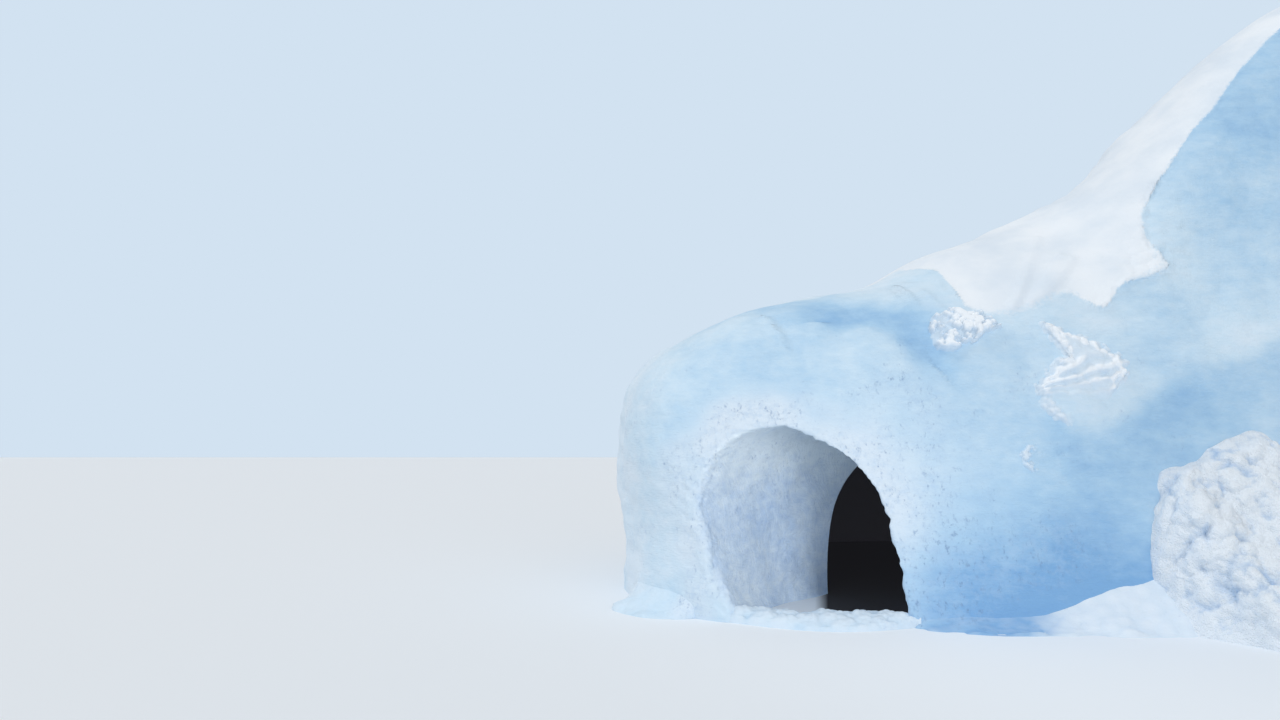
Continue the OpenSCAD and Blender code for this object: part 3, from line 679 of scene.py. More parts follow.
# %% Relief of the shell
def relief(add, at, on_drift, streaks, specks):
    """Patches, grains and scrape lines on cut snow, streaks in the passage, and ripples 90 mm
    apart on the drift: the sum of each pattern times its weight."""
    ripples = add("TexWave", {"Vector": at.place, "Scale": 3.6, "Distortion": 9, "Detail": 3,
                              "Detail Scale": 0.8}, out="Fac", bands_direction="Z")
    faint_streaks, faint_ripples = (add("Math", {0: value, 1: weight}, **TIMES)
                                    for value, weight in ((at.inside, 0.8), (on_drift, 0.12)))
    faint_scrapes = add("Math", {0: on_drift, 1: -0.8, 2: 0.9}, **TIMES_PLUS)
    height = 0
    for part, weight in ((at.patches, 0.5), (at.grain, 0.16), (at.scrapes, faint_scrapes),
                         (ripples, faint_ripples), (streaks, faint_streaks), (specks, -0.5)):
        height = add("Math", {0: part, 1: weight, 2: height}, **TIMES_PLUS)
    return add("Bump", {"Height": height, "Strength": 0.55, "Distance": 0.012})

# %% Finish of the shell
def shell_material(name):
    """Cut snow, drift and carved snow in one material, each where its number says."""
    material, tree, shader = new_material(name, 0.75)
    add = partial(node, tree)
    at = read_surface(add)
    specks, mottles = pits_and_mottles(add, at)
    streaks = arch_streaks(add, at)
    drift, on_drift = drift_snow(add, at)
    skin = scraped_snow(add, at, cut_snow(add, at), specks, mottles)
    for share, tone in ((at.inside, glazed_snow(add, at, streaks, specks)), (on_drift, drift)):
        skin = add("Mix", {0: share, 6: skin, 7: tone}, **COLOURS)
    rough = 0.62
    for part, weight in ((at.inside, -0.18), (at.grain, 0.3)):
        rough = add("Math", {0: part, 1: weight, 2: rough}, **TIMES_PLUS)
    for what, value in (("Base Color", skin), ("Roughness", rough),
                        ("Normal", relief(add, at, on_drift, streaks, specks))):
        tree.links.new(value, shader.inputs[what])
    return material


CUT, DRIFT, CARVED, BANKED, CRUMBLY = map(shell_material, (
    "compacted_cut_snow", "wind_packed_drift_snow", "carved_glazed_snow", "banked_powder_snow",
    "crumbly_broken_snow"))
print("nodes in each:", len(CUT.node_tree.nodes))

# %% [markdown]
# ## Loose snow
# Shovelled snow lies in clods, grainy, with painted light that makes their tops white and painted
# shade that makes the creases between them blue. The number "crease" comes from the shape itself.

# %% Shovelled snow
LOOSE, tree, shader = new_material("shovelled_snow", 0.85)
add = partial(node, tree)
place = add("TexCoord", out="Object")
crumbs = add("TexNoise", {"Vector": place, "Scale": 27, "Detail": 5, "Roughness": 0.65})  # 37 mm
wide = add("TexNoise", {"Vector": place, "Scale": 2.2, "Detail": 3})  # 0.45 m
share = add("Attribute", attribute_name="crease", out="Fac")
for part, weight in ((crumbs, 0.5), (wide, 0.3)):
    share = add("Math", {0: part, 1: weight, 2: share}, **TIMES_PLUS)
share = add("MapRange", {"Value": share, "From Min": 0.52, "From Max": 1.15})
# Painted light on the crowns and painted shade in the creases, mixed with crumbs and wide patches
tone = add("Mix", {0: share, 6: colour("#e9f2fb"), 7: colour("#93bae3")}, **COLOURS)
tree.links.new(tone, shader.inputs["Base Color"])
grains = add("TexVoronoi", {"Vector": place, "Scale": 72})  # 14 mm
height = add("Math", {0: grains, 1: 0.5, 2: crumbs}, **TIMES_PLUS)
bump = add("Bump", {"Height": height, "Strength": 0.8, "Distance": 0.02})
tree.links.new(bump, shader.inputs["Normal"])
print("nodes in the shovelled snow:", len(tree.nodes))

# %% [markdown]
# ## Dark inside
# No light is lit in the chamber, and in the photograph its doorway is near black. So the chamber's
# walls are grey as painted shade, though the snow is white, with a faint painted glow for the trace
# of daylight that comes through the snow itself.

# %% The chamber in painted shade, and the pale floor
def add_painted_glow(shader):
    """A painted glow, a tenth of a dark grey, so that what is unlit isn't pure black."""
    shader.inputs["Emission Color"].default_value = colour("#4c4d55")
    shader.inputs["Emission Strength"].default_value = 0.1


DARK, tree, shader = new_material("chamber_snow_painted_shade", 1.0)
place = node(tree, "TexCoord", out="Object")
uneven = node(tree, "TexNoise", {"Vector": place, "Scale": 1.5, "Detail": 4})
# Mid greys as painted shade, where the snow is white
tone = node(tree, "Mix", {0: uneven, 6: colour("#76777f"), 7: colour("#87868f")}, **COLOURS)
tree.links.new(tone, shader.inputs["Base Color"])
shader.inputs["Specular IOR Level"].default_value = 0.1
add_painted_glow(shader)
PALE_FLOOR, tree, shader = new_material("pale_floor", 0.9)
shader.inputs["Base Color"].default_value = colour("#eaf0f6")
print("materials:", len(bpy.data.materials))

# %% [markdown]
# ## The carved entrance, in outline
# The mouth was carved with a shovel: a leaning arch, hollowed behind and narrowing to the inner
# doorway. Both outlines are needed before the walls, because the scraped snow round the mouth
# spreads over them.

# %% Outlines of the mouth and the doorway
MOUTH = dict(middle=-3.9, left=1.05, right=0.76, waist=0.88, rise=0.82, lean=0.12)
DOOR = dict(middle=-2.9, left=0.83, right=0.7, waist=0.87, rise=0.76, lean=-0.2)
DOOR_FRONT, FOOT_ANGLE, HOLLOW = 2.35, 30, 0.13
# Azimuths between which the entrance's pieces lie. Round its arch there are 28 steps, and 10 of
# them run up each side of its outer edge; FINE is the number of columns in a step
ENTRANCE_LEFT, ENTRANCE_RIGHT = 205, 241
ARCH_STEPS, SIDE_STEPS, FINE = 28, 10, 12


def arch_outline(angle, middle, left, right, waist, rise, lean):
    """Half circle squashed to rise above the waist, narrowing below it to the foot; the right side
    is the cosine to the power 1.5, so it is flatter."""
    c, s = np.cos(np.radians(angle)), np.sin(np.radians(angle))
    height = waist + s * np.where(s > 0, rise, waist / np.sin(np.radians(FOOT_ANGLE)))
    right_side = np.where(angle > 0, right * np.maximum(c, 0) ** 1.5, right)
    across = np.where(angle > 90, left * c, right_side)
    return middle + across + lean * (waist - height), np.maximum(height, 0)


def way_to(x, y, z):
    """Azimuth and elevation of a point."""
    azimuth, elevation = np.degrees(np.arctan2(y, x)), np.degrees(np.arctan2(z, np.hypot(x, y)))
    return np.stack([azimuth % 360, elevation], -1)


def edge_way(n):
    """Outer edge of the entrance: up its left side, along the crest, and down its right side."""
    along = np.clip((n - SIDE_STEPS) / (ARCH_STEPS - 2 * SIDE_STEPS), 0, 1)
    a = ENTRANCE_LEFT + (ENTRANCE_RIGHT - ENTRANCE_LEFT) * along
    height = np.clip(np.minimum(n, ARCH_STEPS - n) / SIDE_STEPS, 0, 1)
    return np.stack([a, crest(a) * height], -1)


steps = np.linspace(0, ARCH_STEPS, ARCH_STEPS * FINE + 1)
angle = 180 + FOOT_ANGLE - (180 + 2 * FOOT_ANGLE) * steps / ARCH_STEPS
mx, mz = arch_outline(angle, **MOUTH)
dx, dz = arch_outline(angle, **DOOR)
mouth_rim = np.stack([mx, -FACE_FRONT + FACE_LEAN * mz, mz], -1)
mouth = way_to(*mouth_rim.T)
door = way_to(dx, 0 * dx - DOOR_FRONT, dz)
edge = edge_way(steps)
print("mouth, metres wide and high:", np.ptp(mx).round(2), mz.max().round(2))

# %% [markdown]
# ## Walls and roofs
# The wall pieces run from the ground to the crest and the roof pieces from the crest to the
# crown. Their grids are even in azimuth and elevation, fine at the front and coarser behind.

# %% Grids in azimuth and elevation
WALL_EDGES = [ENTRANCE_RIGHT, 263, 285, 312, 340, 372, 406, 442, 478, 514, 541, ENTRANCE_LEFT + 360]
WALLS = ["front_wall_left", "front_wall_middle", "front_wall_tall", "front_wall_right",
         "right_wall_front", "right_wall_back", "back_wall_right", "back_wall_middle",
         "back_wall_left", "left_wall_back", "left_wall_front"]
ROOF_EDGES = [ENTRANCE_LEFT, ENTRANCE_RIGHT, 285, 340, 406, 478, 541, ENTRANCE_LEFT + 360]
ROOFS = ["entrance_roof", "front_drift", "peak_face_drift", "peak_drift", "back_drift_right",
         "back_drift_left", "left_drift"]
CROWN_FROM, CROWN_TO, CROWN_RINGS = 77, 89.6, 25
WALL_ROWS, ROOF_ROWS = SIDE_STEPS * FINE, 168
# Columns are this wide, in degrees, up to the front's end and past it. The inner grid has every
# fourth of them
FRONT_UNTIL, FRONT_COLUMN, BACK_COLUMN, STRIDE = 340, 0.375, 1.2, 4


def columns(low, high):
    """Azimuths of a piece's columns, a whole number of coarse steps of four columns."""
    wide = FRONT_COLUMN if high <= FRONT_UNTIL else BACK_COLUMN
    return np.linspace(low, high, STRIDE * round((high - low) / wide / STRIDE) + 1)


def roof_columns(low, high):
    """The columns of the pieces under a roof, joined."""
    if low == ENTRANCE_LEFT:
        return np.linspace(low, high, (ARCH_STEPS - 2 * SIDE_STEPS) * FINE + 1)
    edges = [e for e in WALL_EDGES if low <= e <= high]
    parts = [columns(a, b) for a, b in stretches(edges)]
    return np.concatenate([parts[0]] + [part[1:] for part in parts[1:]])


print("columns of each wall:", [len(columns(low, high)) for low, high in stretches(WALL_EDGES)])

# %% Numbers for the shell's material
def drift_reach(p, azimuth, elevation):
    """Distance from the drift's edge, within 0.3 m: as photographed on the front, and behind it a
    swelling line at the crest, or near the ground on the windward sides."""
    s = drift_side(p)
    soft = ((1 - 0.8 * hill(np.linalg.norm(p - SOFT_CORNER, axis=-1), 0.35))
            * (1 - 0.7 * hill(from_line(p, SOFT_EDGE)[0], 0.2)))
    windward = np.maximum(ramp(p[..., 1], -1.0, 1.0), ramp(p[..., 0], 1.0, 3.0))
    above_ground = 0.12 * (p[..., 2] - 0.7 + 0.7 * swell(p, 0.9, 17))
    above_crest = (elevation - crest(azimuth)) * 0.08 / 14 + 0.05 * swell(p, 0.8, 9)
    natural = above_crest * (1 - windward) + above_ground * windward
    behind = ramp(face_depth(p), 0.45, 1.3)
    edge = s * soft * (1 - behind) + natural * behind
    return np.clip(np.where(p[..., 0] > 2, np.minimum(edge, above_ground), edge), -0.3, 0.3)


def skin_numbers(p, azimuth, elevation):
    """The numbers that the shell's material reads, at points of the plain form."""
    x, z = p[..., 0], p[..., 2]
    front, s = on_front(p), drift_side(p)
    # Scraped snow round the mouth, wider at its right, and in bands of 80 mm at the ledge
    gap = from_line(p, mouth_rim[::FINE])[0]
    above_foot = z - 0.28 * (x + 3)
    reach = 0.5 + 1.1 * ramp(x, -3.6, -2.5) * ramp(above_foot, 0.2, 0.6)
    halo = (front * (1 - ramp(gap + 0.16 * swell(p, 0.35, 10), 0.2 * reach, reach))
            * (1 - ramp(s, -0.3, 0)))
    # More specks, pits with painted shade, round the mouth and where the face is pitted, fewer up
    # high
    dirt = 0.16 * halo + 0.3 * front * hill(from_line(p, PITTED)[0], 0.25) - 0.1 * ramp(z, 2.0, 3.0)
    bands = 0.5 + 0.5 * np.sin(2 * np.pi * z / 0.08 + 2.5 * swell(p, 0.25, 16))
    ledge = front * hill(from_line(p, LEDGE)[0], 0.2) * (0.25 + 0.75 * bands) * (s < 0)
    # Less scraped paleness low right of the mouth, where the foot's painted shade shows, and away
    # from the rim on the right
    halo = (np.maximum(halo, ledge)
            * (1 - 0.85 * ramp(x, -3.4, -2.9) * (1 - ramp(above_foot, 0.3, 1.0)))
            * (1 - 0.7 * ramp(gap, 0.12, 0.65) * ramp(x, -3.6, -2.8)))
    # Bluer to the right, at the foot, under the peak and in the scoop, and paler by the drift and
    # at the lobe's foot; the blue at the foot and in the scoop is painted shade
    low = 1 - ramp(z, 0.1, 1.6)
    blue = (0.34 + 0.14 * ramp(x, -3.2, 0.3) + (0.5 * low + 0.14 * low ** 3) * ramp(x, -3.5, -2.6)
            + 0.2 * ramp(z, 3.8, 5.2) + 0.08 * swell(p, 0.9, 11) - 0.12 * ramp(s, -0.5, -0.05)
            + 0.42 * front * scooped(p)
            - 0.12 * (1 - ramp(x, -5.2, -4.0)) * (1 - 1.4 * ramp(z, 1.2, 1.8))
            + 0.08 * hill(x + 1.6, 0.8) * ramp(z, 0.8, 1.4))
    # Less blue off the front, with painted shade in the hollow under the broad ridge and painted
    # light over it
    blue = blue * (0.35 + 0.65 * front) + 0.21 * front * broad_ridge(p)[1]
    return dict(edge=drift_reach(p, azimuth, elevation), halo=halo, blue=blue, dirt=dirt)

# %% The walls and roofs
def shell(name, azimuth, low, high, rows, material):
    """A block between two elevations that vary with the azimuth."""
    share = np.linspace(0, 1, rows + 1)
    a = np.broadcast_to(azimuth[:, None], (len(azimuth), rows + 1))
    e = low[:, None] + (high - low)[:, None] * share
    plain = surface(outside_depth, a, e)
    outer, facing = finished(plain)
    if low.max() == 0:
        outer[:, 0, 2] = 0
    inner = surface(chamber_depth, a[::STRIDE, ::STRIDE], e[::STRIDE, ::STRIDE])
    block(name, outer, inner, facing, -outwards(chamber_depth, inner), [material, DARK],
          skin_numbers(plain, a, e))


for name, (low, high) in zip(WALLS, stretches(WALL_EDGES)):
    azimuth = columns(low, high)
    shell(name, azimuth, 0 * azimuth, crest(azimuth), WALL_ROWS, CUT)
for name, (low, high) in zip(ROOFS, stretches(ROOF_EDGES)):
    azimuth = roof_columns(low, high)
    shell(name, azimuth, crest(azimuth), 0 * azimuth + CROWN_FROM, ROOF_ROWS, DRIFT)

# %% [markdown]
# The crown is the plug over the middle. Its rings shrink to a small hole, which one many-sided
# face closes on each side.

# %% The crown
around = np.concatenate([roof_columns(low, high)[:-1] for low, high in stretches(ROOF_EDGES)])
a, e = np.meshgrid(around, np.linspace(CROWN_FROM, CROWN_TO, CROWN_RINGS), indexing="ij")
plain = surface(outside_depth, a, e)
outer, facing = finished(plain)
inner = surface(chamber_depth, a[::STRIDE, ::STRIDE], e[::STRIDE, ::STRIDE])
out, back = (np.vstack([n, n[:1]]) for n in point_numbers(outer, inner))
make_piece("crown", [outer, inner], [facing, -outwards(chamber_depth, inner)],
           [(cells(out), 0), (cells(back)[:, ::-1], 1), (border_strip(out[:, 0], back[:, 0]), 0),
            (out[:-1, -1][None], 0), (back[:-1, -1][::-1][None], 1)],
           [DRIFT, DARK], skin_numbers(plain, a, e))

# %% [markdown]
# ## The carved entrance
# The whole entrance is one grid. It runs round the arch in one direction, and in the other from
# the outer edge over the rounded rim and through the passage. It is then cut into the five
# pieces of the frame, so that they shade as one.

# %% The entrance's front sheet
RINGS, ARC, PASSAGE = 60, 12, 72
way = mouth[:, None] + (edge - mouth)[:, None] * np.linspace(1, 0, RINGS + 1)[None, :, None]
skin_plain = surface(outside_depth, way[..., 0], way[..., 1])
skin = finished(skin_plain)[0]

depth = np.linspace(0, 1, PASSAGE + 1)[None, :, None]
near, far = skin[:, -1], surface(chamber_depth, door[:, 0], door[:, 1])
# The passage runs straight from mouth to doorway, and is hollowed most at half its length
level, upright = np.cos(np.radians(angle)), np.sin(np.radians(angle))
bulge = np.stack([0.8 * level, -0.6 * level, np.maximum(upright, 0)], -1)
passage = (near[:, None] + (far - near)[:, None] * depth
           + HOLLOW * bulge[:, None] * np.sin(np.pi * depth))


def lengths(line):
    """Length from its start to each point of every row of a grid of points."""
    run = np.linalg.norm(np.diff(line, axis=1), axis=-1)
    return np.concatenate([np.zeros((len(line), 1)), np.cumsum(run, 1)], 1)


def spread(line, stops):
    """Points at the given lengths along each row."""
    run = lengths(line)
    return np.stack([[np.interp(w, s, row[:, k]) for s, row, w in zip(run, line, stops)]
                     for k in range(3)], -1)


def grid_facing(p):
    """Directions that a grid of points faces: across its rows and columns, anticlockwise."""
    return unit(np.cross(np.gradient(p, axis=0), np.gradient(p, axis=1)))


print("the passage is", lengths(passage)[:, -1].mean().round(2), "m long")

# %% [markdown]
# The rim is rounded: both sheets stop short of the corner, and an arc bends round it. The inside
# is uneven as carving leaves it, with shallow scoops, and the rim is crumbly.

# %% Round the rim and carve the passage
ROUND = 0.1
even, even_in = np.linspace(0, 1, RINGS + 1)[None], np.linspace(0, 1, PASSAGE + 1)[None]
outer_part = spread(skin, even * (lengths(skin)[:, -1:] - ROUND))
plain_part = spread(skin_plain, even * (lengths(skin_plain)[:, -1:] - ROUND))
inner_part = spread(passage, ROUND + even_in * (lengths(passage)[:, -1:] - ROUND))
# The arc: (1 - t) squared of its start, 2 t (1 - t) of the corner and t squared of its end
t = np.linspace(0, 1, ARC + 1)[1:-1][None, :, None]
start, corner, end = outer_part[:, -1:], skin[:, -1:], inner_part[:, :1]
arc = (1 - t) ** 2 * start + 2 * t * (1 - t) * corner + t ** 2 * end
sheet = np.concatenate([outer_part, arc, inner_part], 1)
# Some columns go from the middle of the arc, so that the coarse grid ends with the fine one
spare = (sheet.shape[1] - 1) % STRIDE
sheet = np.concatenate([sheet[:, :RINGS + ARC // 2], sheet[:, RINGS + ARC // 2 + spare:]], 1)

# Scoops of the passage start at the rim and end before the doorway; the rim itself crumbles
number = np.arange(sheet.shape[1])[None]
facing = -grid_facing(sheet)
carved = ramp(number, RINGS - 4, RINGS + 8) * (1 - ramp(number, number.max() - 9, number.max()))
height = carved * (0.02 * swell(sheet, 0.42, 20) + 0.016 * lumps(sheet * [1, 1, 0.8], 0.3, 21)
                   + 0.004 * swell(sheet, 0.09, 22))
at_rim = hill(number - RINGS - ARC / 2, 9)
height = height + at_rim * (0.014 * swell(sheet, 0.09, 23) + 0.018 * swell(sheet, 0.24, 24)
                            + 0.01 * swell(sheet, 0.045, 25))
sheet = sheet + facing * height[..., None]
sheet[[0, -1], :, 2] = 0

# At the outer edge it faces as the walls beside it do
facing = -grid_facing(sheet)
own = ramp(np.arange(RINGS + 1), 0, 8)[None, :, None]
facing[:, :RINGS + 1] = unit(finished(plain_part)[1] * (1 - own) + facing[:, :RINGS + 1] * own)
print("front sheet of the entrance:", sheet.shape)

# %% Numbers for its material
way = way_to(*np.moveaxis(plain_part, -1, 0))
numbers = {kept: np.concatenate([v, np.repeat(v[:, -1:], sheet.shape[1] - v.shape[1], 1)], 1)
           for kept, v in skin_numbers(plain_part, way[..., 0], way[..., 1]).items()}
numbers["inside"] = ramp(number, RINGS + 3, RINGS + ARC) + 0 * sheet[..., 0]
numbers["along"] = lengths(sheet.transpose(1, 0, 2)).T
numbers["inwards"] = lengths(sheet)
print("numbers kept at each point:", ", ".join(numbers))

# %% Cut the entrance into its five pieces
ENTRANCE = ["left_jamb", "left_haunch", "arch_crown", "right_haunch", "right_jamb"]
ARCH_EDGES = np.array([0, 6, 11, 17, 22, ARCH_STEPS]) * FINE
ring = np.linspace(1, 0.04, (sheet.shape[1] - 1) // STRIDE + 1)
way = door[::STRIDE, None] + (edge - door)[::STRIDE, None] * ring[None, :, None]
back_sheet = surface(chamber_depth, way[..., 0], way[..., 1])
back_facing = -outwards(chamber_depth, back_sheet)
for name, (low, high) in zip(ENTRANCE, stretches(ARCH_EDGES)):
    fine, coarse = slice(low, high + 1), slice(low // STRIDE, high // STRIDE + 1)
    block(name, sheet[fine][::-1], back_sheet[coarse][::-1], facing[fine][::-1],
          back_facing[coarse][::-1], [CARVED, DARK],
          {kept: v[fine][::-1] for kept, v in numbers.items()}, whole_ends=True)

# %% [markdown]
# ## Shovelled snow
# The heap was thrown against the wall, so it leans on it and is all rounded clods of many sizes.
# Its body follows the solid of the frame: an out-bulging sheet over the wall, from the ground to
# a top line. Three sizes of lumps then stand on it. Its ends and its top sink into the wall, so
# no border shows.

# %% Sheets that lean on the wall
def waves(u, v):
    """Sum of three slanting sine waves, a third of each."""
    slants = (137 * u + 61 * v, 71 * u - 149 * v + 40, 229 * u + 97 * v + 110)
    return sum(np.sin(np.radians(x)) for x in slants) / 3


def sink(share):
    """1 in the middle of a length and 0 at both ends, round like an ellipse."""
    return np.sqrt(np.clip(1 - (2 * share - 1) ** 2, 0, 1))


def blunt(share):
    """1 in the middle of a length and 0 at both ends: the sine of a half turn to the power 0.45."""
    return np.clip(np.sin(np.pi * np.clip(share, 0, 1)), 0, 1) ** 0.45


def leaning(names, edges, body, base, material, numbers):
    """Cuts one sheet over the wall into its pieces at the given columns."""
    facing = grid_facing(body)
    back = base - 0.1 * outwards(outside_depth, base)
    for name, (low, high) in zip(names, stretches(edges)):
        fine, coarse = slice(low, high + 1), slice(low, high + 1, STRIDE)
        block(name, body[fine], back[coarse, ::STRIDE], facing[fine], -facing[coarse, ::STRIDE],
              [material], {kept: v[fine] for kept, v in numbers.items()})


def cut_snow_numbers(plain, **changes):
    """The numbers of the wall behind with changes added, so that what lies on it takes its
    colour."""
    way = way_to(*np.moveaxis(plain, -1, 0))
    numbers = skin_numbers(plain, way[..., 0], way[..., 1])
    numbers["edge"] = np.minimum(numbers["edge"], -0.1)
    for kept, change in changes.items():
        numbers[kept] = np.clip(numbers[kept] + change, -1, 1.6)
    return numbers


print("the slanting waves at 0, 0 are", waves(0, 0).round(2), "high")

# %% The heap
HEAP_EDGES, HEAP_HEIGHT, HEAP_DEPTH = [256, 263, 285, 303], 1.85, 1.25
counts, rows = [0, 36, 148, 240], 128


def spread_out(counts, edges, rows):
    """Azimuths that run through the edges at those columns, and shares of the way up."""
    azimuth = np.interp(np.arange(counts[-1] + 1), counts, edges)
    return np.meshgrid(azimuth, np.linspace(0, 1, rows + 1), indexing="ij")


a, v = spread_out(counts, HEAP_EDGES, rows)
along = (a - HEAP_EDGES[0]) / (HEAP_EDGES[-1] - HEAP_EDGES[0])
# The top line is blunt, steep at the left end and running out at the right
high = (HEAP_HEIGHT * (0.35 + 0.65 * blunt(0.1 + 0.8 * along))
        * (0.5 + 0.5 * np.clip(along / 0.06, 0, 1) ** 0.5) * (0.95 + 0.08 * ramp(along, 0.15, 0.4))
        * (0.3 + 0.7 * np.clip((1 - along) / 0.3, 0, 1) ** 0.6))
away = FACE_FRONT / np.abs(np.sin(np.radians(a)))
plain = surface(outside_depth, a, v * np.degrees(np.arctan2(high, away)))
base = finished(plain)[0]
ends = np.clip(np.minimum(along / 0.1, (1 - along) / 0.25), 0, 1) ** 0.5
hollow_foot = 1 - 0.5 * (1 - ramp(along, 0.02, 0.22)) * (1 - ramp(v, 0.25, 0.6))
out = (HEAP_DEPTH * blunt(0.04 + 0.92 * along) * (1 - v) ** 0.8 * hollow_foot
       + 0.15 * waves(a / 5, v * 3.5)) * ends - 0.06
body = base + direction(a, 0 * a) * np.maximum(out, -0.06)[..., None]

# Clods of 0.4 m, 0.2 m and 0.1 m stand on it, with crumbs of 50 mm
wobbled = body + 0.03 * swell(body, 0.2, 30)[..., None]
big, middling, small = lumps(body, 0.42, 31), lumps(wobbled, 0.19, 32), lumps(wobbled, 0.095, 33)
clods = (0.14 * big + 0.09 * middling + 0.055 * small + 0.02 * lumps(body, 0.05, 35)
         + 0.05 * swell(body, 0.8, 34) - 0.2)
rough_part = ramp(v + 0.35 * along, 0.04, 0.3)
standing = clods * (0.25 + 0.75 * rough_part) * ends * (1 - ramp(v, 0.9, 1))
body = body + grid_facing(body) * standing[..., None]
body[:, 0, 2] = 0
# Painted shade in the creases between the clods, less on the smoother foot
crease = (1.1 - 0.4 * big - 0.5 * middling - 0.5 * small) * (0.3 + 0.7 * rough_part)
leaning(["heap_left", "heap_middle", "heap_right"], counts, body, base, LOOSE, dict(crease=crease))

# %% [markdown]
# ## Banks at the foot
# Powder that the wind and the shovels left along the foot of the wall: low, hollow slopes that
# run out on the ground. One strip is used left of the mouth, and one from the mouth to the heap.

# %% Foot banks
BANK_HEIGHT = 0.26


def bank(names, edges, counts, rise, ends, powder_and_light):
    """A low slope between the first and the last azimuth of edges. Its rise, its ends and the share
    of pale powder and painted sunlight on it are functions of the share of its length."""
    a, v = spread_out(counts, edges, 32)
    share = (a - edges[0]) / (edges[-1] - edges[0])
    high = BANK_HEIGHT * rise(share) * (1 + 0.25 * swell(direction(a, 0 * a) * 4, 0.5, 41))
    away = np.linalg.norm(surface(outside_depth, a, 0 * a), axis=-1)
    plain = surface(outside_depth, a, v * np.degrees(np.arctan2(high, away)))
    base = finished(plain)[0]
    out = (0.04 + 0.36 * (1 - v) ** 1.9) * ends(share) - 0.05
    body = base + direction(a, 0 * a) * out[..., None]
    uneven = 0.05 * swell(body, 0.3, 42) + 0.03 * lumps(body, 0.12, 43) - 0.02
    body = body + grid_facing(body) * (uneven * (1 - v) * ends(share))[..., None]
    body[:, 0, 2] = 0
    # Paler on its lumps as painted highlight, and towards the heap as powder and in part painted
    # sunlight
    halo = 0.35 * lumps(body, 0.12, 43) - 0.1 + 0.95 * powder_and_light(share)
    leaning(names, counts, body, base, BANKED,
            cut_snow_numbers(plain, halo=halo, blue=-0.3 * powder_and_light(share)))


left_foot, right_foot = mouth[0, 0], mouth[-1, 0]
bank(["foot_bank_left"], [ENTRANCE_LEFT, left_foot + 0.25 * (ENTRANCE_LEFT - left_foot)], [0, 64],
     lambda x: 1 + 0 * x, lambda x: 0.15 + 0.85 * sink(x), lambda x: 0 * x)
bank(["foot_bank_right", "foot_bank_middle"],
     [right_foot + 0.04 * (ENTRANCE_RIGHT - right_foot), ENTRANCE_RIGHT, 260], [0, 40, 128],
     lambda x: 0.4 + 1.5 * ramp(x, 0.3, 1.0), lambda x: 0.15 + 0.85 * np.clip(x / 0.3, 0, 1) ** 0.5,
     lambda x: ramp(x, 0.32, 0.55))

# %% [markdown]
# ## The sill
# Snow that crumbled from the arch and was pressed flat lies across the mouth: a low ridge whose
# section is half an ellipse, lumpy along its length.

# %% Door sill
SILL_HEIGHT = 0.1
left, right = (np.stack([sheet[side, RINGS + 2], sheet[side, RINGS + ARC + 8]]) for side in (0, -1))
u, w = np.meshgrid(np.linspace(-0.015, 1.015, 145), np.linspace(0, 1, 33), indexing="ij")
front_line, back_line = (left[k] + (right[k] - left[k]) * u[..., None] for k in (0, 1))
top_skin = front_line + (back_line - front_line) * w[..., None]
top_skin[..., 1] += np.sin(np.pi * np.clip(u, 0, 1)) * (0.34 * w - 0.27)
clod = 0.5 * lumps(top_skin, 0.13, 51) + 0.3 * lumps(top_skin * [1, 1, 0], 0.06, 52)
top_skin[..., 2] = SILL_HEIGHT * sink(w) ** 0.8 * (0.45 + clod + 0.25 * swell(top_skin, 0.4, 53))
facing = grid_facing(top_skin)
underside = top_skin[::STRIDE, ::STRIDE] * [1, 1, 0]
top_skin[:, 1:-1, 2] += 0.002
# Paler and less blue on the clods, painted highlight, and bluer between them, painted shade
block("door_sill", top_skin, underside, facing, 0 * underside - [0, 0, 1.0], [BANKED],
      dict(edge=0 * w - 0.1, halo=0.2 + 0.9 * clod, blue=0.62 - 0.3 * clod, dirt=0 * w))

# %% [markdown]
# ## Broken flakes on the face
# Where plates of wind crust broke off, what is left stands out from the face by a hand's width:
# a smooth slab above, rough and grooved where it tore, with crumbs along its border. Each flake
# is a sheet over the finished wall whose height falls below the wall at an irregular outline.

# %% Flakes
PLATE = seen((1041, 326), (1061, 334), (1076, 340), (1094, 348), (1110, 357), (1121, 366),
             (1120, 378), (1108, 397), (1112, 412), (1098, 428), (1072, 429), (1050, 416),
             (1040, 404), (1034, 388), (1046, 376), (1054, 364), (1065, 362), (1058, 350),
             (1048, 338))
ROUGH_PATCH = seen((929, 318), (948, 311), (973, 312), (992, 320), (999, 329), (984, 334),
                   (975, 344), (958, 351), (936, 352), (928, 336))
SMALL_PATCH = seen((1016, 454), (1024, 445), (1052, 441), (1057, 450), (1046, 466), (1034, 477),
                   (1020, 467))
# A flake's grid reaches this many degrees past its outline and has this many points a side
FLAKE_MARGIN, FLAKE_POINTS = 0.8, 145


def flake(name, outline, shape):
    """A sheet over the wall, even in azimuth and elevation round its outline, whose height and
    paleness come from the place and from how far inside the outline it lies, in metres."""
    ways = way_to(*outline.T)
    low, high = ways.min(0) - FLAKE_MARGIN, ways.max(0) + FLAKE_MARGIN
    a, e = np.meshgrid(*(np.linspace(low[k], high[k], FLAKE_POINTS) for k in (0, 1)),
                       indexing="ij")
    plain = surface(outside_depth, a, e)
    wall = finished(plain)[0]
    n = outwards(outside_depth, plain)
    distance = from_line(plain, np.vstack([outline, outline[:1]]))[0]
    height, pale = shape(plain, np.where(is_inside(plain, outline), distance, -distance))
    body, back = wall + n * height[..., None], wall - 0.07 * n
    block(name, body, back[::STRIDE, ::STRIDE], grid_facing(body), -n[::STRIDE, ::STRIDE],
          [CRUMBLY], cut_snow_numbers(plain, halo=pale, blue=-0.1 * pale, dirt=-1))


